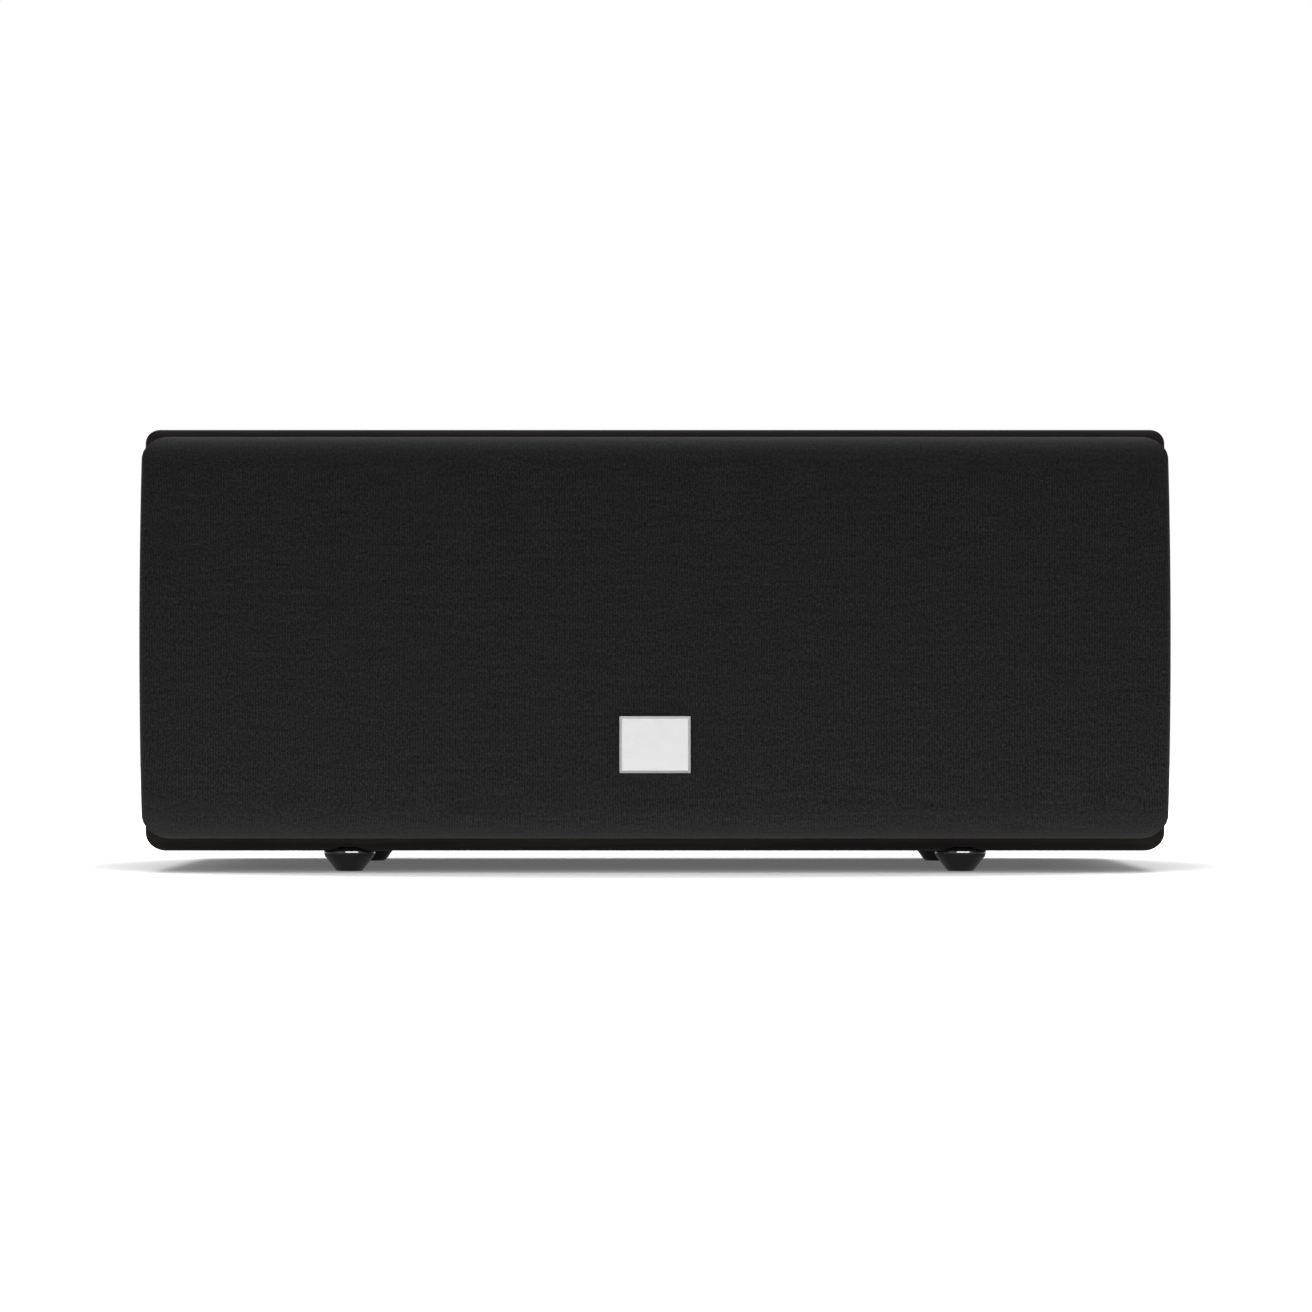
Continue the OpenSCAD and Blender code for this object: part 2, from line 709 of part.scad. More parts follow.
module badge() {
    half = [[-1, 0], [1, 0], [1, 1], [-1, 1]];
    color([0.85, 0.85, 0.86]) ahead(0, y_cloth, 0) {
        translate([0, badge_z, 0]) intersection() {
            rotate([90, 0, 0]) linear_extrude(badge_h, center = true) bevelled(badge_w);
            rotate([90, 0, 90]) linear_extrude(badge_w, center = true) bevelled(badge_h);
        }
        translate([0, 0, -grille_d]) studs(stud_r, stud_l);
    }
}
module bevelled(w) {
    b = badge_bevel;
    polygon([[-w / 2, 0], [w / 2, 0], [w / 2, badge_t - b], [w / 2 - b, badge_t], [b - w / 2, badge_t],
        [-w / 2, badge_t - b]]);
}

// Woofers, drawn back from the front of the baffle
module each_woofer() {
    for (s = [-1, 1]) behind(s * woofer_x, y_front, z_mid) children();
}
module woofer(side) {
    behind(side * woofer_x, y_front, z_mid) children();
}
module each_woofer_screw() {
    for (a = [45 : 90 : 315]) rotate(a) translate([woofer_bolt_r, 0, 0]) children();
}
module revolve() {
    rotate_extrude() children();
}
module woofer_basket(side) {
    neck = basket_neck_r;
    cup = ledge_in_r + basket_t;
    color([0.1, 0.1, 0.1]) woofer(side) difference() {
        revolve() polygon([
            [basket_r, 0], [basket_r, basket_flange_t], [neck, basket_flange_t], [neck, leg_front_z],
            [waist_r, leg_rear_z], [cup, leg_rear_z], [cup, basket_floor_z],
            [top_plate_r + 2, basket_floor_z], [top_plate_r + 2, motor_z], [magnet_hole_r + 2, motor_z],
            [magnet_hole_r + 2, basket_floor_z], [ledge_in_r, basket_floor_z], [ledge_in_r, spider_z],
            [waist_r - basket_t, spider_z], [neck - basket_t, leg_front_z],
            [neck - basket_t, ledge_z], [ledge_out_r, ledge_z], [ledge_out_r, 0]
        ]);
        for (i = [0 : basket_windows - 1]) rotate(i * 360 / basket_windows)
            translate([ledge_in_r + 1, 0, (basket_flange_t + spider_z + 2) / 2]) rotate([90, 0, 90])
                linear_extrude(basket_r - ledge_in_r)
                    rounded_rect(basket_window_w, spider_z - basket_flange_t - 8, 4);
        each_woofer_screw() translate([0, 0, -eps])
            cylinder(r = screw_r + screw_gap, h = basket_flange_t + 2 * eps);
    }
}
module woofer_gasket(side) {
    color([0.06, 0.06, 0.06]) woofer(side) revolve() difference() {
        translate([surround_out_r + 0.5, gasket_front_z])
            square([gasket_r - surround_out_r - 0.5, gasket_rear_z - gasket_front_z]);
        translate([surround_out_r + 0.5, gasket_front_z]) circle(0.6);
    }
}
module woofer_surround(side) {
    mid = cone_r + 0.25 + roll_w / 2;
    color([0.05, 0.05, 0.05]) woofer(side) revolve() {
        intersection() {
            translate([mid, ledge_z]) difference() {
                circle(roll_w / 2 + surround_t / 2);
                circle(roll_w / 2 - surround_t / 2);
            }
            translate([0, ledge_z - 20]) square([2 * basket_r, 20]);
        }
        translate([mid + roll_w / 2 - surround_t / 2, ledge_z - surround_t])
            square([gasket_r - 0.3 - mid - roll_w / 2 + surround_t / 2, surround_t]);
        translate([cone_r - 2.5, ledge_z - surround_t])
            square([mid - roll_w / 2 + surround_t / 2 - cone_r + 2.5, surround_t]);
    }
}
// Height of the cone's front face at radius share t, from 0 at the rim to 1 at the neck
function cone_front(t) = rim_z + cone_depth * pow(t, 0.85);
module woofer_cone(side) {
    neck = coil_r + 0.1;
    front = [for (i = [0 : cone_steps]) let(t = i / cone_steps)
        [cone_rim_in - (cone_rim_in - neck) * t, cone_front(t)]];
    rear = [for (i = [cone_steps : -1 : 0]) [front[i][0], front[i][1] + cone_t]];
    color([0.14, 0.14, 0.15]) woofer(side)
        revolve() polygon(concat([[cone_r, rim_z]], front, rear, [[cone_r, rim_z + cone_t]]));
}
module dome_shell(r, h, t, base) {
    ball = (r * r + h * h) / (2 * h);
    revolve() intersection() {
        translate([0, base - h + ball]) difference() {
            circle(ball, $fn = 128);
            circle(ball - t, $fn = 128);
        }
        translate([0, base - h - eps]) square([r + eps, h + eps]);
    }
}
module woofer_dust_cap(side) {
    t = (cone_rim_in - cap_r) / (cone_rim_in - coil_r);
    color([0.09, 0.09, 0.09]) woofer(side) dome_shell(cap_r, cap_h, 0.6, cone_front(t) - 0.3);
}
module woofer_spider(side) {
    in_r = coil_r + 0.1;
    out_r = top_plate_r + 2.4;
    wave_in = in_r + 1.6;
    wave_out = ledge_in_r - 1;
    base = spider_z - spider_t;
    top = [for (i = [0 : spider_steps]) let(t = i / spider_steps)
        [wave_in + (wave_out - wave_in) * t, base + spider_wave * sin(360 * spider_turns * t)]];
    under = [for (i = [spider_steps : -1 : 0]) [top[i][0], top[i][1] + spider_t]];
    color([0.75, 0.62, 0.3]) woofer(side) revolve() polygon(concat(
        [[in_r, base]], top, [[out_r, base], [out_r, spider_z]], under, [[in_r, spider_z]]));
}
module woofer_voice_coil(side) {
    mid = motor_z + top_plate_t / 2;
    color([0.72, 0.4, 0.2]) woofer(side) revolve() {
        translate([coil_in_r, cone_neck_z - 2]) square([former_t, mid + 8 - cone_neck_z]);
        translate([coil_in_r, mid - 5]) square([former_t + winding_t, 10]);
    }
}
module woofer_top_plate(side) {
    color([0.55, 0.56, 0.58]) woofer(side) revolve()
        translate([gap_out_r, motor_z]) square([top_plate_r - gap_out_r, top_plate_t]);
}
module woofer_magnet(side) {
    color([0.16, 0.16, 0.17]) woofer(side) revolve() translate([magnet_hole_r, magnet_z]) {
        square([magnet_r - magnet_hole_r, yoke_z - magnet_z - magnet_bevel]);
        square([magnet_r - magnet_hole_r - magnet_bevel, yoke_z - magnet_z]);
    }
}
module woofer_back_plate(side) {
    color([0.55, 0.56, 0.58]) woofer(side) revolve() {
        translate([vent_r, yoke_z]) square([magnet_r - 2 - vent_r, back_plate_t]);
        translate([vent_r, motor_z + 0.3]) square([pole_r - vent_r, yoke_z - motor_z - 0.3]);
    }
}
// A strip with two solder tags: it lies against local Z 0 and its tags run along local Y
module tag_strip() {
    translate([-tag_pitch, -strip_l / 2, 0]) cube([2 * tag_pitch, strip_l, strip_t]);
    for (x = [-1, 1]) translate([x * tag_pitch / 2 - 1.5, strip_l / 2 - eps, 0.3])
        cube([3, tag_l + eps, 0.8]);
}
module driver_terminals() {
    color([0.62, 0.5, 0.25]) {
        each_woofer() translate([0, -strip_r, strip_z]) rotate([90 - leg_tilt, 0, 0]) tag_strip();
        behind(0, y_front, z_mid) translate([0, 0, tweeter_yoke_z + tweeter_back_t]) tag_strip();
    }
}
module driver_screw() {
    translate([0, 0, -screw_head_h]) cylinder(r = screw_head_r, h = screw_head_h);
    translate([0, 0, -screw_head_h]) cylinder(r = screw_r, h = screw_head_h + screw_length);
}
module woofer_screws() {
    color([0.08, 0.08, 0.08]) each_woofer() each_woofer_screw() driver_screw();
}

// Tweeter
module each_face_screw() {
    for (x = [-1, 1], y = [-1, 1]) translate([x * face_bolt, y * face_bolt, 0]) children();
}
function signed_pow(c, e) = sign(c) * pow(abs(c), e);
function superellipse(a, b, n, z) = [for (i = [0 : horn_sides - 1]) let(w = 360 * i / horn_sides)
    [a * signed_pow(cos(w), 2 / n), b * signed_pow(sin(w), 2 / n), z]];
// Share of the way from mouth to throat, steep at the mouth and nearly straight at the throat
function horn_share(t) = 1 - pow(1 - t, 1.7);
function horn_ring(t, grow) = let(s = horn_share(t))
    superellipse(horn_a + (throat_r - horn_a) * s + grow, horn_b + (throat_r - horn_b) * s + grow,
        4 - 2 * s, horn_depth * t);
// A closed skin over rings of points, each ring seen anticlockwise from the last one
module skin(rings) {
    n = len(rings[0]);
    last = len(rings) - 1;
    sides = [for (i = [0 : last - 1], j = [0 : n - 1]) let(k = (j + 1) % n)
        each [[i * n + j, (i + 1) * n + j, (i + 1) * n + k], [i * n + j, (i + 1) * n + k, i * n + k]]];
    ends = [[for (j = [0 : n - 1]) j], [for (j = [n - 1 : -1 : 0]) last * n + j]];
    polyhedron([for (r = rings) each r], concat(sides, ends), convexity = 6);
}
module horn_body(grow, run_in, run_out) {
    first = horn_ring(0, grow);
    final = horn_ring(1, grow);
    skin(concat(
        run_in > 0 ? [[for (p = first) [p[0], p[1], -run_in]]] : [],
        [for (i = [0 : horn_steps]) horn_ring(i / horn_steps, grow)],
        [[for (p = final) [p[0], p[1], horn_depth + run_out]]]
    ));
}
module tweeter_waveguide() {
    color([0.08, 0.08, 0.085]) behind(0, y_front, z_mid) difference() {
        union() {
            linear_extrude(face_t) rounded_rect(face_w, face_w, face_corner_r);
            intersection() {
                horn_body(horn_t, 0, eps);
                translate([-face_w, -face_w, face_t - 1])
                    cube([2 * face_w, 2 * face_w, horn_depth - face_t + 1]);
            }
            translate([0, 0, horn_depth - 1]) cylinder(r = horn_ring_r, h = tweeter_front_z - horn_depth + 1);
        }
        horn_body(0, eps, 2 * eps);
        translate([0, 0, dome_z - 1.9]) cylinder(r = dome_seat_r, h = 5);
        each_face_screw() translate([0, 0, -eps]) cylinder(r = screw_r + screw_gap, h = face_t + 2 * eps);
    }
}
module tweeter_dome() {
    mid = dome_r + 0.3 + dome_roll_r;
    color([0.12, 0.12, 0.13]) behind(0, y_front, z_mid) {
        dome_shell(dome_r, dome_h, dome_t, dome_z);
        revolve() {
            intersection() {
                translate([mid, dome_z]) difference() {
                    circle(dome_roll_r + dome_t / 2);
                    circle(dome_roll_r - dome_t / 2);
                }
                translate([0, dome_z - 5]) square([dome_seat_r, 5]);
            }
            translate([mid + dome_roll_r - dome_t / 2, dome_z - dome_t])
                square([dome_seat_r - 0.5 - mid - dome_roll_r, dome_t]);
            translate([dome_r - dome_t - 0.1, dome_z - dome_t]) square([1.2, dome_t]);
        }
    }
}
module tweeter_voice_coil() {
    in_r = dome_r - 0.3;
    color([0.72, 0.4, 0.2]) behind(0, y_front, z_mid) revolve() {
        translate([in_r, dome_z]) square([0.2, tweeter_plate_t + 1.5]);
        translate([in_r, tweeter_front_z + 0.3]) square([0.2 + tweeter_coil_t, tweeter_plate_t - 0.6]);
    }
}
module tweeter_top_plate() {
    color([0.55, 0.56, 0.58]) behind(0, y_front, z_mid) revolve()
        translate([tweeter_gap_r, tweeter_front_z])
            square([horn_ring_r - tweeter_gap_r, tweeter_plate_t]);
}
module tweeter_magnet() {
    color([0.16, 0.16, 0.17]) behind(0, y_front, z_mid) revolve()
        translate([tweeter_gap_r + 3, tweeter_front_z + tweeter_plate_t])
            square([tweeter_magnet_r - tweeter_gap_r - 3, tweeter_magnet_t]);
}
module tweeter_back_plate() {
    color([0.55, 0.56, 0.58]) behind(0, y_front, z_mid) revolve() {
        translate([0, tweeter_yoke_z]) square([tweeter_magnet_r - 2, tweeter_back_t]);
        translate([0, tweeter_pole_z]) square([tweeter_pole_r, tweeter_yoke_z - tweeter_pole_z]);
    }
}
module tweeter_screws() {
    color([0.08, 0.08, 0.08]) behind(0, y_front, z_mid) each_face_screw() driver_screw();
}

// Port and terminals, drawn forward from the outer face of the rear panel
module port_tube() {
    out = port_r + flare_r;
    color([0.07, 0.07, 0.07]) ahead(-port_x, y_panel, z_mid) revolve() {
        translate([port_r, flare_r - lip_t]) square([port_t, port_l - flare_r + lip_t]);
        intersection() {
            translate([out, flare_r - lip_t]) circle(flare_r);
            translate([port_r, -lip_t]) square([flare_r, flare_r]);
        }
        translate([out, -lip_t]) square([port_lip, lip_t]);
        translate([port_r + port_t / 2, flare_r - lip_t - 1]) square([flare_r - port_t / 2, 1.5]);
    }
}
module each_cup_screw() {
    x = cup_w / 2 + cup_lip - 3.5;
    y = cup_h / 2 + cup_lip - 3.5;
    for (i = [-1, 1], j = [-1, 1]) translate([i * x, j * y, 0]) children();
}
module each_post() {
    for (s = [-1, 1]) ahead(s * post_pitch / 2, y_panel, z_mid) children();
}
module post_at(side) {
    ahead(side * post_pitch / 2, y_panel, z_mid) children();
}
module terminal_cup() {
    color([0.06, 0.06, 0.065]) difference() {
        ahead(0, y_panel, z_mid) difference() {
            union() {
                translate([0, 0, -lip_t]) linear_extrude(lip_t)
                    rounded_rect(cup_w + 2 * cup_lip, cup_h + 2 * cup_lip, cup_corner_r);
                linear_extrude(cup_d + cup_t)
                    rounded_rect(cup_w + 2 * cup_t, cup_h + 2 * cup_t, cup_corner_r + cup_t);
            }
            translate([0, 0, -lip_t - eps]) linear_extrude(cup_d + lip_t + eps)
                rounded_rect(cup_w, cup_h, cup_corner_r);
            each_cup_screw() translate([0, 0, -lip_t - eps])
                cylinder(r = cup_screw_r + screw_gap, h = lip_t + 2 * eps);
        }
        each_post() cylinder(r = post_r + run_gap, h = cup_d + cup_t + eps);
    }
}
module cup_screws() {
    color([0.1, 0.1, 0.1]) ahead(0, y_panel, z_mid) each_cup_screw() {
        translate([0, 0, -lip_t - 0.4]) cylinder(r = cup_head_r, h = 0.4);
        translate([0, 0, -lip_t]) cylinder(r = cup_screw_r, h = lip_t + cup_screw_bite - 1);
    }
}
module binding_posts() {
    color([0.85, 0.68, 0.3]) each_post() difference() {
        union() {
            translate([0, 0, post_end_z]) cylinder(r = post_r, h = post_l + cup_t + tail_l);
            translate([0, 0, cup_d - collar_h]) cylinder(r = collar_r, h = collar_h);
        }
        translate([0, 0, post_end_z - eps]) cylinder(r = plug_r, h = plug_l + eps);
    }
}
module post_nuts() {
    color([0.75, 0.75, 0.76]) each_post() translate([0, 0, cup_d + cup_t]) difference() {
        cylinder(r = nut_r, h = nut_h, $fn = 6);
        translate([0, 0, -eps]) cylinder(r = post_r + run_gap, h = nut_h + 2 * eps);
    }
}
module insert(side) {
    color([0.85, 0.68, 0.3]) post_at(side) translate([0, 0, insert_z]) difference() {
        cylinder(r = insert_r, h = insert_l);
        translate([0, 0, -eps]) cylinder(r = post_r + run_gap, h = insert_l + 2 * eps);
    }
}
module knob(side, tint) {
    color(tint) post_at(side) difference() {
        translate([0, 0, knob_end_z]) {
            cylinder(r = knob_r, h = knob_l - 1);
            cylinder(r = knob_r - 1, h = knob_l);
        }
        translate([0, 0, knob_end_z - eps]) cylinder(r = post_r + 1.25 * run_gap, h = knob_l + 2 * eps);
        translate([0, 0, insert_z - run_gap]) cylinder(r = insert_r + run_gap, h = insert_l + 2 * run_gap);
        for (i = [0 : knob_flutes - 1]) rotate(i * 360 / knob_flutes)
            translate([knob_r + flute_r / 2, 0, knob_end_z - eps])
                cylinder(r = flute_r, h = knob_l - 4 + eps);
    }
}

// Crossover, on the floor of the right-hand chamber
module each_board_screw() {
    e = board_screw_edge;
    for (x = [e, board_w - e], y = [e, board_d - e])
        translate([board_x + x, board_y0 + y, 0]) children();
}
module crossover_board() {
    color([0.35, 0.27, 0.12]) difference() {
        translate([board_x, board_y0, board_z]) cube([board_w, board_d, board_t]);
        each_board_screw() translate([0, 0, board_z - eps])
            cylinder(r = board_screw_r + screw_gap, h = board_t + 2 * eps);
    }
}
module choke(x, y) {
    translate([board_x + x, board_y0 + y, board_top_z]) rotate_extrude() translate([choke_hole_r, 0]) {
        square([choke_r - choke_hole_r, choke_h - 2 * choke_bevel]);
        translate([choke_bevel, 0]) square([choke_r - choke_hole_r - 2 * choke_bevel, choke_h]);
    }
}
module crossover_coils() {
    color([0.75, 0.38, 0.16]) {
        choke(choke_x, choke_y);
        choke(choke_x + 2 * choke_r + part_gap, choke_y);
    }
}
module capacitor(x, y) {
    translate([board_x + x, board_y0 + y, board_top_z + cap_body_r])
        rotate([0, 90, 0]) cylinder(r = cap_body_r, h = cap_body_l);
}
module crossover_capacitors() {
    x = 2 * board_screw_edge + part_gap / 2;
    y = cap_body_r + part_gap;
    color([0.62, 0.13, 0.1]) {
        capacitor(x, y);
        capacitor(x + cap_body_l + part_gap, y);
        capacitor(x, y + cap_pitch);
    }
}
module crossover_resistor() {
    color([0.88, 0.86, 0.8])
        translate([board_x + 2 * board_screw_edge + cap_body_l + 2 * part_gap,
            board_y0 + 2 * cap_body_r + 2 * part_gap, board_top_z])
            cube([resistor_l, resistor_w, resistor_w]);
}
module crossover_spacers() {
    color([0.9, 0.9, 0.88]) each_board_screw() translate([0, 0, z_floor_in]) difference() {
        cylinder(r = spacer_r, h = spacer_h);
        translate([0, 0, -eps]) cylinder(r = board_screw_r + screw_gap, h = spacer_h + 2 * eps);
    }
}
module crossover_screws() {
    color([0.6, 0.6, 0.62]) each_board_screw() {
        translate([0, 0, board_top_z]) cylinder(r = board_screw_r + 1.2, h = 1.4);
        translate([0, 0, z_floor_in - board_bite + 1])
            cylinder(r = board_screw_r, h = board_top_z - z_floor_in + board_bite);
    }
}

// Wiring: each lead is a tube swept along a smooth curve through a few chosen points
function curve_point(p, i, t) =
    let(a = p[max(i - 1, 0)], b = p[i], c = p[i + 1], d = p[min(i + 2, len(p) - 1)])
    0.5 * (2 * b + (c - a) * t + (2 * a - 5 * b + 4 * c - d) * t * t + (3 * b - a - 3 * c + d) * t * t * t);
function curve(p) = concat(
    [for (i = [0 : len(p) - 2], k = [0 : lead_steps - 1]) curve_point(p, i, k / lead_steps)],
    [p[len(p) - 1]]);
function unit(v) = v / norm(v);
module lead(points) {
    path = curve(points);
    last = len(path) - 1;
    skin([for (i = [0 : last]) let(
        t = unit(path[min(i + 1, last)] - path[max(i - 1, 0)]),
        u = unit(cross(t, [0.31, 0.17, 0.93])),
        v = cross(t, u)
    ) [for (j = [0 : lead_sides - 1]) let(w = 360 * j / lead_sides)
        path[i] + lead_r * (cos(w) * u + sin(w) * v)]]);
}
// Two leads side by side, with their own spacing at each end
module twin_lead(points, first, last) {
    n = len(points) - 1;
    for (s = [-1, 1])
        lead([for (i = [0 : n]) points[i] + s * (i == 0 ? first : i >= n - 1 ? last : [0, 0, 1.6])]);
}
module wiring() {
    post_y = y_panel - cup_d - cup_t - tail_l - lead_gap;
    tag_reach = strip_l / 2 + tag_l + solder_gap;
    tag_y = y_front + strip_z + tag_reach * cos(leg_tilt);
    tag_z = z_mid - strip_r - 0.7 + tag_reach * sin(leg_tilt);
    tweeter_y = y_front + tweeter_yoke_z + tweeter_back_t + 0.7;
    tweeter_z = z_mid + tag_reach;
    x0 = board_x;
    y0 = board_y0;
    z0 = z_floor_in;
    brace_x = brace_pitch / 2;
    pad_x = x0 + 4;
    pad_z = board_top_z + lead_gap;
    color([0.5, 0.07, 0.06])
        lead([[-post_pitch / 2, post_y, z_mid], [-8, post_y - 12, z_mid - 2], [10, y0 + 52, z_mid - 12],
            [40, y0 + 50, z0 + 42], [brace_x, y0 + 49, z0 + 34], [x0 - 2, y0 + 48, z0 + 24],
            [pad_x, y0 + 46, z0 + 15], [pad_x, y0 + 46, pad_z]]);
    color([0.06, 0.06, 0.06]) {
        lead([[post_pitch / 2, post_y, z_mid], [12, post_y - 8, z_mid - 2], [34, y0 + 62, z_mid - 18],
            [brace_x, y0 + 57, z0 + 36], [x0 - 2, y0 + 56, z0 + 26], [pad_x, y0 + 54, z0 + 16],
            [pad_x, y0 + 54, pad_z]]);
        twin_lead([[0, tweeter_y, tweeter_z], [2, tweeter_y + 12, tweeter_z + 4], [24, y0 - 2, z_mid - 6],
            [brace_x, y0 + 30, z0 + 32], [x0 - 2, y0 + 36, z0 + 22], [pad_x, y0 + 37, z0 + 14],
            [pad_x, y0 + 37, pad_z]], [tag_pitch / 2, 0, 0], [0, 2.4, 0]);
        twin_lead([[woofer_x, tag_y, tag_z], [woofer_x - 2, tag_y + 8, z0 + 26],
            [woofer_x - 12, y0 - 18, z0 + 26], [x0 + 16, y0 - 2, z0 + 26], [x0 + 6, y0 + 9, z0 + 21],
            [pad_x, y0 + 14, z0 + 14], [pad_x, y0 + 14, pad_z]], [tag_pitch / 2, 0, 0], [0, 2.4, 0]);
        twin_lead([[-woofer_x, tag_y, tag_z], [4 - woofer_x, tag_y + 8, z0 + 24],
            [28 - woofer_x, y0 - 10, z0 + 18], [-brace_x, y0 + 8, z0 + 24],
            [-20, y0 + 16, z0 + 16], [20, y0 + 18, z0 + 16],
            [brace_x, y0 + 22, z0 + 23], [x0 - 2, y0 + 25, z0 + 20], [pad_x, y0 + 25.5, z0 + 14],
            [pad_x, y0 + 25.5, pad_z]], [tag_pitch / 2, 0, 0], [0, 2.4, 0]);
    }
}

// Damping pads under the roof of each woofer chamber
module damping_pads() {
    top = z_roof_in - pad_gap;
    color([0.9, 0.9, 0.88]) both_sides()
        translate([woofer_x, (y_front + y_back) / 2 + 18, top - pad_t / 2]) rotate([90, 0, 0])
            linear_extrude(pad_l, center = true) rounded_rect(pad_w, pad_t, pad_t / 2 - 1);
}

cabinet_shell();
front_baffle();
back_panel();
brace(-1);  // brace_left
brace(1);  // brace_right
foot(-1, 0);  // foot_front_left
foot(1, 0);  // foot_front_right
foot(-1, 1);  // foot_rear_left
foot(1, 1);  // foot_rear_right
foot_screws();
grille_cloth();
grille_frame();
grille_sockets();
badge();
woofer_basket(-1);  // woofer_basket_left
woofer_basket(1);  // woofer_basket_right
woofer_gasket(-1);  // woofer_gasket_left
woofer_gasket(1);  // woofer_gasket_right
woofer_surround(-1);  // woofer_surround_left
woofer_surround(1);  // woofer_surround_right
woofer_cone(-1);  // woofer_cone_left
woofer_cone(1);  // woofer_cone_right
woofer_dust_cap(-1);  // woofer_dust_cap_left
woofer_dust_cap(1);  // woofer_dust_cap_right
woofer_spider(-1);  // woofer_spider_left
woofer_spider(1);  // woofer_spider_right
woofer_voice_coil(-1);  // woofer_voice_coil_left
woofer_voice_coil(1);  // woofer_voice_coil_right
woofer_top_plate(-1);  // woofer_top_plate_left
woofer_top_plate(1);  // woofer_top_plate_right
woofer_magnet(-1);  // woofer_magnet_left
woofer_magnet(1);  // woofer_magnet_right
woofer_back_plate(-1);  // woofer_back_plate_left
woofer_back_plate(1);  // woofer_back_plate_right
driver_terminals();
woofer_screws();
tweeter_waveguide();
tweeter_dome();
tweeter_voice_coil();
tweeter_top_plate();
tweeter_magnet();
tweeter_back_plate();
tweeter_screws();
port_tube();
terminal_cup();
cup_screws();
binding_posts();
post_nuts();
insert(-1);  // red_insert
insert(1);  // black_insert
knob(-1, [0.7, 0.06, 0.06]);  // red_knob
knob(1, [0.05, 0.05, 0.05]);  // black_knob
crossover_board();
crossover_coils();
crossover_capacitors();
crossover_resistor();
crossover_spacers();
crossover_screws();
wiring();
damping_pads();
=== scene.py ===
"""Center channel speaker: its looks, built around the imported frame.

Lengths are in millimetres until a mesh is made. X runs along the cabinet, Y from its front to its back, Z up.
"""
import math

import bmesh
import bpy
import numpy as np
from mathutils import Matrix


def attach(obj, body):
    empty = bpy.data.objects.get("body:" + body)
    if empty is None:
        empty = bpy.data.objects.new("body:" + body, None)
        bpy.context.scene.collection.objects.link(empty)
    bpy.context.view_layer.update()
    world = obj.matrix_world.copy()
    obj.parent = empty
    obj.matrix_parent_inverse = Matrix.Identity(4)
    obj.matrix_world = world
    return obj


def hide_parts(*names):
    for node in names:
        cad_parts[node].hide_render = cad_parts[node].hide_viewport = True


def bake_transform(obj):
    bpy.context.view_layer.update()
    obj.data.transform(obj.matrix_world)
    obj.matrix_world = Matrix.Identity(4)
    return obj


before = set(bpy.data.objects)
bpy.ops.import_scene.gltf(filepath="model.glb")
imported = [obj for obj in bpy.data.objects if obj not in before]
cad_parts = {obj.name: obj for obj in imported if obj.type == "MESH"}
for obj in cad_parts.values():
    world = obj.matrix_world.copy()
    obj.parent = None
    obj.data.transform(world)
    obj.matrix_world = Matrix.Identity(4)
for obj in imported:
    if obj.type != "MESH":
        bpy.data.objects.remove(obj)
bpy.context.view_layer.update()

MM = 0.001

# The photograph's frame in pixels, and the place of the camera
PHOTO = 1312
FOCAL_PX = 4509.0
AXIS_X_PX = 655.0
HORIZON_PX = 736.4
CAMERA_Y = -1850.0
CAMERA_Z = 52.8

# Faces and middle lines that the made pieces share with the solids
Z_MID = 90.3
Y_FRONT = -90.0
Y_PANEL = 103.0
Y_GRILLE = -90.3
HALF_W = 200.0
WOOFER_X = 124.0
WINDOW_R = 59.0
SIDES = (("left", -WOOFER_X), ("right", WOOFER_X))

# Grille cloth: depth and edges of the grille, radii of its outline and rolls, and the hem behind it
GRILLE_D = 14.1
GRILLE_LOW = 13.0
GRILLE_TOP = 169.6
BOW_R = 2700.0
CORNER_R = 10.5
ROLL_R = 13.0
END_R = 3.0
FOLD_R = 0.7
HEM_W = 6.0
HEM_MIDDLE = 3.4
CLOTH_T = 0.6
SPINE_X = 124.0
DIP = 0.22

# Tweeter dome, its depths measured from the baffle's face
DOME_BASE = 23.7
DOME_R = 12.6
DOME_H = 6.0
DOME_T = 0.4

# Screws: radius and height of the head, radius and length of the shank
DRIVER_SCREW = (2.9, 1.3, 1.8, 12)
CUP_SCREW = (2.5, 0.4, 1.4, 9.5)
FOOT_SCREW = (3.4, 2.2, 2.0, 14.4)

# Damping pads under the roof
PAD_Y = 26.0
PAD_LOW = 146.3
PAD_HIGH = 160.2
PAD_W = 96
PAD_L = 92

# Light of the room on matte surfaces, where plain white is 1
HORIZON_LIGHT = 0.92
ZENITH_LIGHT = 0.2
REAR_LIGHT = 0.25


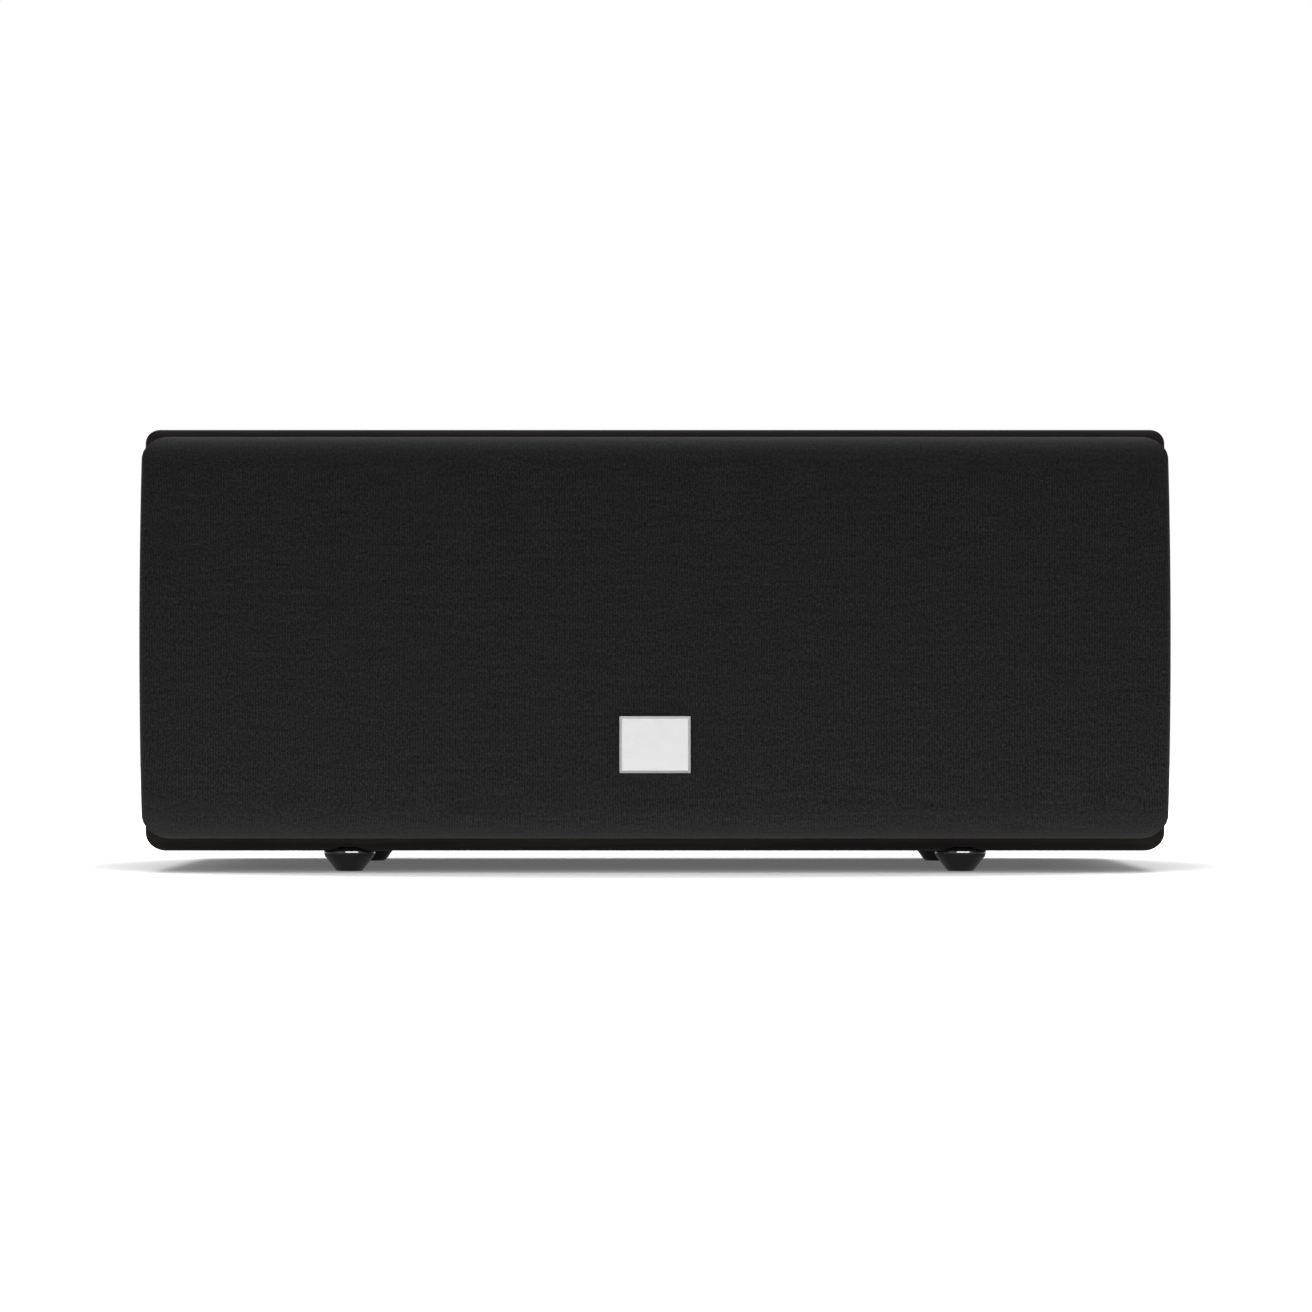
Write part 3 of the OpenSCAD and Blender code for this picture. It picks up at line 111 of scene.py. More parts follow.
# Shader kit
class Num:
    """A socket that carries a number. Arithmetic on it adds Math nodes."""

    def __init__(self, graph, socket):
        self.graph = graph
        self.socket = socket

    def math(self, operation, *others):
        node = self.graph.node("ShaderNodeMath", {"operation": operation}, {0: self})
        for i, other in enumerate(others):
            self.graph.put(node.inputs[i + 1], other)
        return Num(self.graph, node.outputs[0])

    def __add__(self, other):
        return self.math("ADD", other)

    def __sub__(self, other):
        return self.math("SUBTRACT", other)

    def __rsub__(self, other):
        node = self.graph.node("ShaderNodeMath", {"operation": "SUBTRACT"}, {0: other, 1: self})
        return Num(self.graph, node.outputs[0])

    def __mul__(self, other):
        return self.math("MULTIPLY", other)

    __radd__ = __add__
    __rmul__ = __mul__

    def above(self, edge):
        return self.math("GREATER_THAN", edge)

    def step(self, low, high, start=0.0, end=1.0):
        """start below low, end above high, smooth between them."""
        node = self.graph.node("ShaderNodeMapRange", {"interpolation_type": "SMOOTHSTEP"},
                               {0: self, 1: low, 2: high, 3: start, 4: end})
        return Num(self.graph, node.outputs[0])


class Graph:
    """The nodes of a material or of the world."""

    def __init__(self, tree):
        self.tree = tree

    def put(self, socket, value):
        if isinstance(value, Num):
            value = value.socket
        if isinstance(value, bpy.types.NodeSocket):
            self.tree.links.new(value, socket)
        else:
            socket.default_value = value

    def node(self, kind, settings=None, inputs=None):
        """A node of this kind: its settings first, then the values or links of its sockets."""
        node = self.tree.nodes.new(kind)
        for key, value in (settings or {}).items():
            if key == "stops":
                ramp = node.color_ramp.elements
                while len(ramp) < len(value):
                    ramp.new(1.0)
                for stop, (place, tone) in zip(ramp, value):
                    stop.position = place
                    stop.color = (*tone, 1.0)
            else:
                setattr(node, key, value)
        for key, value in (inputs or {}).items():
            self.put(node.inputs[key], value)
        return node

    def parts(self, vector):
        node = self.node("ShaderNodeSeparateXYZ", {}, {0: vector})
        return [Num(self, node.outputs[i]) for i in range(3)]


class Paint(Graph):
    """One material and its Principled shader."""

    def __init__(self, name, color, roughness, metallic=0.0, **sockets):
        self.material = bpy.data.materials.new(name)
        self.material.use_nodes = True
        super().__init__(self.material.node_tree)
        self.shader = self.tree.nodes["Principled BSDF"]
        self.set(**{"Base Color": (*color, 1.0), "Roughness": roughness, "Metallic": metallic})
        self.set(**{key.replace("_", " "): value for key, value in sockets.items()})

    def set(self, **sockets):
        for key, value in sockets.items():
            self.put(self.shader.inputs[key], value)

    def stretched(self, vector, scale):
        return self.node("ShaderNodeMapping", {}, {"Vector": vector, "Scale": scale}).outputs[0]

    def place(self, scale=(1, 1, 1)):
        """Coordinates of the piece, stretched for a pattern."""
        return self.stretched(self.node("ShaderNodeTexCoord").outputs["Object"], scale)

    def noise(self, vector, scale, detail=2.0, roughness=0.5, distortion=0.0):
        node = self.node("ShaderNodeTexNoise", {}, {
            "Vector": vector, "Scale": scale, "Detail": detail, "Roughness": roughness,
            "Distortion": distortion})
        return Num(self, node.outputs[0])

    def cells(self, vector, scale, feature="F1"):
        node = self.node("ShaderNodeTexVoronoi", {"feature": feature}, {"Vector": vector, "Scale": scale})
        return Num(self, node.outputs["Distance"])

    def tones(self, factor, *stops):
        """A colour for each value of factor."""
        return self.node("ShaderNodeValToRGB", {"stops": stops}, {0: factor}).outputs[0]

    def blend(self, factor, low, high):
        low, high = [(*c, 1.0) if isinstance(c, tuple) else c for c in (low, high)]
        return self.node("ShaderNodeMix", {"data_type": "RGBA"}, {0: factor, 6: low, 7: high}).outputs[2]

    def relief(self, height, depth, strength):
        """Bump of this height map, whose value 1 stands depth metres above 0."""
        bump = self.node("ShaderNodeBump", {}, {"Height": height, "Distance": depth, "Strength": strength})
        self.set(Normal=bump.outputs[0])


# Finishes
def vinyl():
    """Dark wood-grain vinyl, its grain along X on the top and bottom and along Z on the ends."""
    p = Paint("dark_wood_grain_vinyl", (0.018, 0.0125, 0.0105), 0.42, Specular_IOR_Level=0.14)
    x, y, z = p.parts(p.node("ShaderNodeTexCoord").outputs["Object"])
    sideways = p.parts(p.node("ShaderNodeTexCoord").outputs["Normal"])[0]
    end = sideways.math("ABSOLUTE").above(0.72)
    along = x + (z - x) * end
    across = z + (x - z) * end
    joined = p.node("ShaderNodeCombineXYZ", {}, {0: along * 0.045, 1: y, 2: across}).outputs[0]
    broad = p.noise(joined, 75.0, 3.0, 0.55, 0.4)
    fine = p.noise(joined, 620.0, 2.0, 0.6)
    pores = p.noise(joined, 1500.0, 1.0, 0.5).step(0.56, 0.68)
    grain = broad * 0.6 + fine * 0.4
    base = p.tones(grain, (0.34, (0.0026, 0.0016, 0.0014)), (0.5, (0.0056, 0.0036, 0.0031)),
                   (0.64, (0.011, 0.0074, 0.0062)))
    p.set(**{"Base Color": p.blend(pores * 0.5, base, (0.0035, 0.0023, 0.002)),
             "Roughness": 0.36 + fine * 0.14 + pores * 0.1})
    p.relief(fine * 0.5 - pores, 0.00006, 0.7)
    return p.material


def black_vinyl():
    """Fine-pebbled black vinyl of the rear panel."""
    p = Paint("pebbled_black_vinyl", (0.011, 0.011, 0.0115), 0.5)
    at = p.place()
    pebble = p.cells(at, 1400.0, "SMOOTH_F1")
    cloud = p.noise(at, 30.0)
    p.set(**{"Base Color": p.blend(cloud, (0.009, 0.009, 0.0095), (0.014, 0.0138, 0.0135)),
             "Roughness": 0.44 + pebble * 0.25})
    p.relief(pebble, 0.00012, 0.6)
    return p.material


def fibreboard():
    """Raw fibreboard: felted fibres in a warm tan."""
    p = Paint("raw_fibreboard", (0.32, 0.22, 0.13), 0.85)
    fibre = p.noise(p.place((1, 1, 3)), 900.0, 4.0, 0.65)
    cloud = p.noise(p.place(), 45.0, 3.0)
    p.set(**{"Base Color": p.blend(fibre * 0.6 + cloud * 0.4, (0.24, 0.155, 0.085), (0.4, 0.285, 0.175))})
    p.relief(fibre, 0.0001, 0.5)
    return p.material


def painted_baffle():
    """The same board under a thin black paint that the fibres show through."""
    p = Paint("black_painted_board", (0.013, 0.013, 0.0135), 0.62)
    fibre = p.noise(p.place(), 1100.0, 4.0, 0.65)
    p.set(**{"Base Color": p.blend(fibre, (0.01, 0.01, 0.0105), (0.019, 0.0185, 0.018)),
             "Roughness": 0.5 + fibre * 0.25})
    p.relief(fibre, 0.00008, 0.5)
    return p.material


def knit():
    """Black grille knit: rows of tiny loops with open holes between them, on the cloth's own flat map."""
    p = Paint("black_grille_knit", (0.014, 0.014, 0.0142), 0.8, Sheen_Weight=0.06, Sheen_Roughness=0.6,
              Specular_IOR_Level=0.05)
    flat = p.node("ShaderNodeUVMap", {"uv_map": "flat_cloth"}).outputs[0]
    u, v, _ = p.parts(flat)
    pitch = 0.00062
    wobble = p.noise(flat, 240.0) * 0.35
    row = (v * (math.tau / pitch) + wobble * 3.0).math("SINE")
    loop = (u * (math.tau / pitch) + row * 0.9 + wobble * 2.0).math("SINE")
    thread = row * loop * 0.5 + 0.5
    fleck = p.noise(flat, 2600.0, 2.0, 0.6)
    weave = thread * 0.55 + fleck * 0.45
    slub = p.noise(p.stretched(flat, (1.0, 7.0, 1.0)), 60.0)
    knot = p.noise(flat, 900.0, 2.0, 0.7)
    tone = weave * 0.58 + knot * 0.34 + slub * 0.08
    p.set(**{"Base Color": p.tones(tone, (0.36, (0.0004, 0.0004, 0.0005)), (0.5, (0.004, 0.004, 0.0041)),
                                   (0.61, (0.023, 0.0229, 0.023)))})
    p.relief(weave, 0.00012, 0.5)
    return p.material


def moulded(name, color, roughness=0.45, grain=2200.0, depth=0.00003):
    """Moulded plastic with the fine texture of an eroded tool."""
    p = Paint(name, color, roughness)
    at = p.place()
    texture = p.noise(at, grain, 2.0, 0.6)
    cloud = p.noise(at, 60.0)
    darker, lighter = [tuple(c * k for c in color) for k in (0.8, 1.25)]
    p.set(**{"Base Color": p.blend(cloud, darker, lighter), "Roughness": roughness - 0.08 + texture * 0.16})
    p.relief(texture, depth, 0.6)
    return p.material


def gloss(name, color, roughness, level=0.5):
    """Polished moulded plastic with faint flow marks and handling haze."""
    p = Paint(name, color, roughness, Coat_Weight=0.8 * level, Coat_Roughness=0.12, Specular_IOR_Level=level)
    haze = p.noise(p.place(), 180.0, 3.0)
    flow = p.noise(p.place((1, 1, 0.3)), 90.0)
    p.set(Roughness=roughness + haze * 0.08)
    p.relief(flow, 0.00004, 0.35)
    return p.material


def metal(name, color, roughness):
    """Bare or plated metal with fine machining marks and faint stains."""
    p = Paint(name, color, roughness, 1.0)
    at = p.place()
    marks = p.noise(at, 900.0, 2.0, 0.6)
    stain = p.noise(at, 120.0, 3.0)
    darker = tuple(c * 0.82 for c in color)
    p.set(**{"Base Color": p.blend(stain, darker, color), "Roughness": roughness - 0.06 + marks * 0.18})
    p.relief(marks, 0.00001, 0.5)
    return p.material


def plate_metal():
    """Silver plate with a fine blasted face that sparkles in single grains."""
    p = Paint("blasted_silver_plate", (0.86, 0.86, 0.865), 0.34, 1.0)
    at = p.place()
    grain = p.cells(at, 4200.0)
    cloud = p.noise(at, 260.0)
    p.set(**{"Base Color": p.blend(grain * 0.7 + cloud * 0.3, (0.76, 0.76, 0.77), (0.93, 0.93, 0.93)),
             "Roughness": 0.14 + grain * 0.1})
    p.relief(grain, 0.00001, 0.5)
    return p.material


def rubber():
    """Matte rubber with a faint bloom."""
    p = Paint("matte_rubber", (0.012, 0.012, 0.0125), 0.55)
    at = p.place()
    bloom = p.noise(at, 90.0, 3.0)
    skin = p.noise(at, 1800.0)
    p.set(**{"Base Color": p.blend(bloom, (0.009, 0.009, 0.0095), (0.018, 0.018, 0.0185)),
             "Roughness": 0.48 + bloom * 0.2})
    p.relief(skin, 0.00003, 0.4)
    return p.material


def cone_plastic():
    """Graphite-filled cone: dark grey, with glinting flecks."""
    p = Paint("graphite_cone", (0.03, 0.03, 0.032), 0.38)
    at = p.place()
    fleck = p.cells(at, 1300.0)
    swirl = p.noise(at, 150.0, 3.0)
    p.set(**{"Base Color": p.blend(fleck, (0.022, 0.022, 0.024), (0.06, 0.06, 0.064)),
             "Roughness": 0.3 + swirl * 0.18})
    p.relief(swirl, 0.00006, 0.5)
    return p.material


def woven(name, low, high, pitch, roughness):
    """Plain woven cloth: two crossed sets of threads on Object coordinates."""
    p = Paint(name, high, roughness, Sheen_Weight=0.2)
    x, _, z = p.parts(p.node("ShaderNodeTexCoord").outputs["Object"])
    warp = (x * (math.tau / pitch)).math("SINE")
    weft = (z * (math.tau / pitch)).math("SINE")
    over = warp * weft * 0.5 + 0.5
    fuzz = p.noise(p.place(), 1500.0, 3.0)
    p.set(**{"Base Color": p.blend(over * 0.6 + fuzz * 0.4, low, high)})
    p.relief(over * 0.7 + fuzz * 0.3, pitch * 0.15, 0.6)
    return p.material


def winding():
    """Enamelled copper wire wound in close turns."""
    p = Paint("enamelled_copper_winding", (0.62, 0.26, 0.1), 0.3, 1.0)
    _, y, z = p.parts(p.node("ShaderNodeTexCoord").outputs["Object"])
    turns = (y * (math.tau / 0.0005)).math("SINE") + (z * (math.tau / 0.0009)).math("SINE")
    stain = p.noise(p.place(), 200.0, 3.0)
    p.set(**{"Base Color": p.blend(stain, (0.45, 0.16, 0.06), (0.74, 0.34, 0.14)),
             "Roughness": 0.26 + stain * 0.16})
    p.relief(turns * 0.25 + 0.5, 0.00012, 0.6)
    return p.material


def ferrite():
    """Ground ferrite: dull charcoal with fine pits."""
    p = Paint("ground_ferrite", (0.035, 0.035, 0.037), 0.6)
    at = p.place()
    pits = p.cells(at, 900.0)
    cloud = p.noise(at, 60.0, 4.0)
    p.set(**{"Base Color": p.blend(cloud, (0.025, 0.025, 0.027), (0.055, 0.054, 0.055)),
             "Roughness": 0.5 + pits * 0.3})
    p.relief(pits, 0.00008, 0.5)
    return p.material


def laminate():
    """Phenolic board in layered brown."""
    p = Paint("phenolic_laminate", (0.28, 0.17, 0.06), 0.5)
    layers = p.noise(p.place((1, 1, 12)), 300.0, 3.0)
    p.set(**{"Base Color": p.blend(layers, (0.2, 0.11, 0.035), (0.36, 0.23, 0.09)),
             "Roughness": 0.42 + layers * 0.2})
    p.relief(layers, 0.00003, 0.4)
    return p.material


def wadding_fibre():
    """White polyester wadding: loose crossed fibres."""
    p = Paint("white_wadding", (0.78, 0.78, 0.76), 0.95, Sheen_Weight=0.5)
    fibre = p.noise(p.place((1, 0.25, 1)), 700.0, 5.0, 0.7, 1.5)
    tuft = p.noise(p.place(), 90.0, 3.0)
    p.set(**{"Base Color": p.blend(fibre * 0.5 + tuft * 0.5, (0.62, 0.62, 0.6), (0.88, 0.88, 0.87))})
    p.relief(fibre * 0.6 + tuft * 0.4, 0.0012, 0.8)
    return p.material


VINYL = vinyl()
REAR_VINYL = black_vinyl()
BOARD = fibreboard()
BAFFLE = painted_baffle()
KNIT = knit()
BLACK_PLASTIC = moulded("textured_black_plastic", (0.012, 0.012, 0.0128))
FOOT_GLOSS = gloss("gloss_black_plastic", (0.0065, 0.0065, 0.007), 0.1, 0.25)
KNOB_RED = gloss("gloss_red_plastic", (0.42, 0.008, 0.008), 0.14)
KNOB_BLACK = gloss("gloss_black_knob", (0.009, 0.009, 0.0095), 0.14)
STEEL = metal("zinc_plated_steel", (0.58, 0.58, 0.57), 0.32)
BLACK_STEEL = moulded("black_stoved_steel", (0.013, 0.013, 0.0135), 0.38, 1500.0)
GOLD = metal("gold_plated_brass", (0.86, 0.62, 0.26), 0.22)
PLATE = plate_metal()
RUBBER = rubber()
CONE = cone_plastic()
SPIDER = woven("resin_dipped_cotton", (0.36, 0.22, 0.06), (0.62, 0.43, 0.15), 0.0007, 0.75)
DOME = woven("coated_silk_dome", (0.014, 0.014, 0.015), (0.03, 0.03, 0.032), 0.00035, 0.45)
COPPER = winding()
FERRITE = ferrite()
LAMINATE = laminate()
CAPACITOR = moulded("capacitor_film_red", (0.42, 0.05, 0.03), 0.3, 500.0)
CERAMIC = moulded("cement_ceramic", (0.74, 0.72, 0.66), 0.75, 1200.0, 0.00008)
WHITE_PLASTIC = moulded("white_spacer_plastic", (0.75, 0.75, 0.73), 0.4)
LEAD = moulded("lead_insulation", (0.02, 0.02, 0.021), 0.42, 700.0)
WADDING = wadding_fibre()

NODE_FINISH = {
    "cabinet_shell": VINYL, "front_baffle": BAFFLE, "back_panel": REAR_VINYL,
    "brace_left": BOARD, "brace_right": BOARD,
    "foot_front_left": FOOT_GLOSS, "foot_front_right": FOOT_GLOSS,
    "foot_rear_left": FOOT_GLOSS, "foot_rear_right": FOOT_GLOSS, "foot_screws": STEEL,
    "grille_cloth": KNIT, "grille_frame": BLACK_PLASTIC, "grille_sockets": RUBBER, "badge": PLATE,
    "driver_terminals": GOLD, "woofer_screws": BLACK_STEEL,
    "tweeter_waveguide": BLACK_PLASTIC, "tweeter_dome": DOME, "tweeter_voice_coil": COPPER,
    "tweeter_top_plate": STEEL, "tweeter_magnet": FERRITE, "tweeter_back_plate": STEEL,
    "tweeter_screws": BLACK_STEEL, "port_tube": BLACK_PLASTIC, "terminal_cup": BLACK_PLASTIC,
    "cup_screws": BLACK_STEEL, "binding_posts": GOLD, "post_nuts": STEEL,
    "red_insert": GOLD, "black_insert": GOLD, "red_knob": KNOB_RED, "black_knob": KNOB_BLACK,
    "crossover_board": LAMINATE, "crossover_coils": COPPER, "crossover_capacitors": CAPACITOR,
    "crossover_resistor": CERAMIC, "crossover_spacers": WHITE_PLASTIC, "crossover_screws": STEEL,
    "wiring": LEAD, "damping_pads": WADDING,
}
WOOFER_FINISH = {
    "basket": BLACK_STEEL, "gasket": RUBBER, "surround": RUBBER, "cone": CONE, "dust_cap": CONE,
    "spider": SPIDER, "voice_coil": COPPER, "top_plate": STEEL, "magnet": FERRITE, "back_plate": STEEL,
}
for part, finish in WOOFER_FINISH.items():
    for side, _ in SIDES:
        NODE_FINISH[f"woofer_{part}_{side}"] = finish
for node, finish in NODE_FINISH.items():
    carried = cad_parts[node]
    if carried.material_slots:
        for place in carried.material_slots:
            place.material = finish
    else:
        carried.data.materials.append(finish)


# Mesh kit
def piece_from(name, points, faces, material, uv=None, smooth=True):
    """A mesh object at the origin from an (n, 3) array in millimetres and lists of corner numbers."""
    mesh = bpy.data.meshes.new(name)
    mesh.from_pydata((np.asarray(points) * MM).tolist(), [], faces)
    if uv is not None:
        corner = np.empty(len(mesh.loops), dtype=np.int32)
        mesh.loops.foreach_get("vertex_index", corner)
        layer = mesh.uv_layers.new(name="flat_cloth")
        layer.data.foreach_set("uv", (np.asarray(uv)[corner] * MM).ravel())
    mesh.polygons.foreach_set("use_smooth", np.full(len(mesh.polygons), smooth))
    mesh.materials.append(material)
    mesh.update()
    piece = bpy.data.objects.new(name, mesh)
    bpy.context.scene.collection.objects.link(piece)
    return piece


def grid_faces(rows, columns, around=False):
    """Quads over a grid of rows by columns points, joined round the columns if around is true."""
    i = np.arange(rows - 1)[:, None]
    j = np.arange(columns if around else columns - 1)[None, :]
    k = (j + 1) % columns
    quads = np.stack([i * columns + j, i * columns + k, (i + 1) * columns + k, (i + 1) * columns + j], -1)
    return quads.reshape(-1, 4).tolist()


def weld(piece, distance):
    """Merges points within this distance in metres and turns every face outward."""
    work = bmesh.new()
    work.from_mesh(piece.data)
    bmesh.ops.remove_doubles(work, verts=work.verts, dist=distance)
    bmesh.ops.recalc_face_normals(work, faces=work.faces)
    work.to_mesh(piece.data)
    work.free()
    piece.data.update()


def made(piece, body, node):
    """Sets a made piece on its body, in the place of a node's solids."""
    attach(piece, body)
    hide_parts(node)
    return piece


# Grille cloth
def outline(inset):
    """The grille's outline drawn inset millimetres inside it, clockwise from the top left.

    Each end is an arc of radius BOW_R whose middle lies on the far side of the box, and each corner is an
    arc that touches it and the straight edge. Returns points (n, 2), unit outward normals (n, 2) and how far
    along its half each point lies, from -1 at the left end to 1 at the right.
    """
    straight, turn, side = 72, 9, 30
    sharpest = 0.4
    r = max(CORNER_R - inset, sharpest)
    far = HALF_W - BOW_R
    reach = BOW_R - inset - r
    top, low = GRILLE_TOP - inset - r, GRILLE_LOW + inset + r
    top_x = far + math.sqrt(reach ** 2 - (top - Z_MID) ** 2)
    low_x = far + math.sqrt(reach ** 2 - (low - Z_MID) ** 2)
    up = math.atan2(top - Z_MID, top_x - far)
    down = math.atan2(low - Z_MID, low_x - far)
    angles = np.concatenate([np.linspace(math.pi / 2, up, turn), np.linspace(up, down, side)[1:-1],
                             np.linspace(down, -math.pi / 2, turn)])

    def each_arc(at_top, at_bow, at_low):
        return np.concatenate([np.full(turn, at_top), np.full(side - 2, at_bow), np.full(turn, at_low)])

    middle = np.stack([each_arc(top_x, far, low_x), each_arc(top, Z_MID, low)], 1)
    normal = np.stack([np.cos(angles), np.sin(angles)], 1)
    right = middle + each_arc(r, BOW_R - inset, r)[:, None] * normal
    share = np.linspace(-1, 1, straight)[1:-1]
    upper = np.stack([share * top_x, np.full(len(share), top + r)], 1)
    lower = np.stack([-share * low_x, np.full(len(share), low - r)], 1)
    flip = np.array([-1.0, 1.0])
    points = np.concatenate([upper, right, lower, right[::-1] * flip])
    normals = np.concatenate([np.tile([0.0, 1.0], (len(upper), 1)), normal,
                              np.tile([0.0, -1.0], (len(lower), 1)), normal[::-1] * flip])
    along = np.concatenate([share, np.ones(len(right)), -share, -np.ones(len(right))])
    return points, normals, along


def cloth_height(points):
    """How far the cloth stands in front of the grille's back at (n, 2) points.

    At a distance d inside an edge rolled on radius R it stands GRILLE_D - R + (R^2 - (R - d)^2)^(1/2). The
    top and bottom roll back on ROLL_R and the ends on END_R. The lower of the two wins, and they melt into
    each other over a millimetre, as stretched cloth does. Over each window of the frame the cloth dips by
    DIP (1 - a^2)^2, where a runs from 0 in its middle to 1 near its rim.
    """
    x, z = points.T
    melt, rim = 1.1, 2.0

    def roll(distance, radius):
        near = np.clip(radius - distance, 0, radius)
        return GRILLE_D - radius + np.sqrt(radius ** 2 - near ** 2)

    edge = roll(np.minimum(GRILLE_TOP - z, z - GRILLE_LOW), ROLL_R)
    end = roll(BOW_R - np.hypot(np.abs(x) - HALF_W + BOW_R, z - Z_MID), END_R)
    mix = np.clip(0.5 + 0.5 * (end - edge) / melt, 0, 1)
    height = end + (edge - end) * mix - melt * mix * (1 - mix) * 0.5
    away = np.clip(np.hypot(np.abs(x) - WOOFER_X, z - Z_MID) / (WINDOW_R - rim), 0, 1)
    return height - DIP * (1 - away ** 2) ** 2


def grille_cloth():
    """The cloth from its hem behind the frame, out round the edge and over the front to the middle.

    Each row of the grid is the outline at some inset and height: two rows of hem, a quarter turn of FOLD_R,
    three rows up the wall, the roll by equal angles, and then equal shares of the way to a spine along the
    middle. The flat map lays each point before the roll's end straight out from it, by the length of cloth
    between them.
    """
    def hem_row(inset, height):
        points = outline(inset)[0]
        return points, np.full(len(points), height)

    def front_row(points):
        return points, cloth_height(points)

    edge, normals, along = outline(0.0)
    wall_top = cloth_height(edge)
    rows = [hem_row(HEM_W, 0.0), hem_row(HEM_MIDDLE, 0.0)]
    rows += [hem_row(FOLD_R - FOLD_R * math.cos(a), FOLD_R - FOLD_R * math.sin(a))
             for a in map(math.radians, (90, 60, 30, 0))]
    rows += [(edge, FOLD_R + (wall_top - FOLD_R) * share) for share in (0.25, 0.5, 0.75)]
    rows += [front_row(outline(ROLL_R * (1 - math.cos(math.radians(a))))[0]) for a in range(0, 91, 5)]
    flat_start = len(rows) - 1
    rim = rows[-1][0]
    spine = np.stack([along * SPINE_X, np.full(len(rim), Z_MID)], 1)
    rows += [front_row(rim + (spine - rim) * share) for share in np.linspace(0, 1, 14)[1:]]
    flat, height = [np.stack(part) for part in zip(*rows)]
    solid = np.stack([flat[..., 0], Y_GRILLE - height, flat[..., 1]], -1)
    lengths = np.linalg.norm(np.diff(solid, axis=0), axis=-1)
    run = np.zeros(height.shape)
    run[:flat_start] = np.cumsum(lengths[:flat_start][::-1], axis=0)[::-1]
    base = flat.copy()
    base[:flat_start] = flat[flat_start]
    uv = base + run[..., None] * normals
    cloth = piece_from("grille_cloth_knit", solid.reshape(-1, 3), grid_faces(*height.shape, True), KNIT,
                       uv.reshape(-1, 2))
    weld(cloth, 0.00001)
    wall = cloth.modifiers.new("thickness", "SOLIDIFY")
    wall.thickness = CLOTH_T * MM
    wall.offset = -1.0
    return cloth


cloth = grille_cloth()
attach(cloth, "grille")
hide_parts("grille_cloth")


# Turned pieces. A seat is where the axis meets a face, two cross axes, and the way that depth runs from it
def turned(name, profile, material, seat, start=0.0, sweep=math.tau, steps=144, dent=None):
    """The closed profile of (radius, depth) points turned about the seat's axis.

    P = middle + r cos(a) u + r sin(a) v + (d + dent(r cos(a), r sin(a), d)) w, for each profile point (r, d).
    """
    middle, u, v, w = [np.array(part, dtype=float) for part in seat]
    r, d = np.asarray(profile, dtype=float).T
    if np.sum(r * np.roll(d, -1) - np.roll(r, -1) * d) < 0:
        r, d = r[::-1], d[::-1]
    angle = (start + np.linspace(0, sweep, steps))[:, None]
    across, up = r * np.cos(angle), r * np.sin(angle)
    depth = np.broadcast_to(d, across.shape)
    if dent:
        depth = depth + dent(across, up, depth)
    points = middle + across[..., None] * u + up[..., None] * v + depth[..., None] * w
    piece = piece_from(name, points.reshape(-1, 3), grid_faces(steps, len(r), True), material)
    if sweep == math.tau:
        weld(piece, 0.000002)
    piece.data.set_sharp_from_angle(angle=math.radians(35.0))
    return piece


def band(line, thickness):
    """Closed profile round a middle line of (radius, depth) points: each one plus and minus half the
    thickness along the line's normal there."""
    way = np.gradient(line, axis=0)
    side = np.stack([-way[:, 1], way[:, 0]], 1) / np.linalg.norm(way, axis=1, keepdims=True) * thickness / 2
    return np.concatenate([line + side, (line - side)[::-1]])


def softened(line, step, reach):
    """The line walked again in even steps, each point the mean of those within reach of it."""
    run = np.concatenate([[0], np.cumsum(np.linalg.norm(np.diff(line, axis=0), axis=1))])
    even = np.linspace(0, run[-1], int(run[-1] / step) + 1)
    path = np.stack([np.interp(even, run, line[:, i]) for i in (0, 1)], 1)
    n = max(int(reach / step), 1)
    padded = np.pad(path, ((n, n), (0, 0)), mode="reflect", reflect_type="odd")
    mean = np.ones(2 * n + 1) / (2 * n + 1)
    return np.stack([np.convolve(padded[:, i], mean, "valid") for i in (0, 1)], 1)


def half_roll(middle, half, high, seat, lips, points, step, reach, thickness):
    """Profile of a half roll between two flat lips, softened where they meet.

    Over t from -1 to 1, radius = middle + half t and depth = seat - high (1 - t^2)^(1/2).
    """
    t = np.linspace(-1, 1, points)
    roll = np.stack([middle + half * t, seat - high * (1 - t ** 2) ** 0.5], 1)
    line = np.concatenate([[[lips[0], seat]], roll, [[lips[1], seat]]])
    return band(softened(line, step, reach), thickness)


def spider_profile():
    """Four corrugations between the former and the ledge.

    Over t from 0 to 1, radius = 14.6 + 16.9 t and depth = seat + 0.9 sin(8 pi t), with flat lips beyond.
    """
    t = np.linspace(0, 1, 65)
    seat = 29.75
    waves = np.stack([14.6 + 16.9 * t, seat + 0.9 * np.sin(8 * math.pi * t)], 1)
    return band(np.concatenate([[[13.0, seat], [13.8, seat]], waves, [[33.0, seat], [38.4, seat]]]), 0.5)


def driver_seat(x):
    """The baffle's face at a driver's axis, with depth running back."""
    return (x, Y_FRONT, Z_MID), (1, 0, 0), (0, 0, 1), (0, 1, 0)


def bending_ring(name, profile, material, node, x, sectors):
    """A ring turned from the profile about the driver's axis at x, in equal sectors, in the place of the
    node's solids.
    """
    step = math.tau / sectors
    for i in range(sectors):
        piece = turned(f"{name}_{i}", profile, material, driver_seat(x), i * step, step, 144 // sectors + 1)
        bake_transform(piece)
        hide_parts(node)


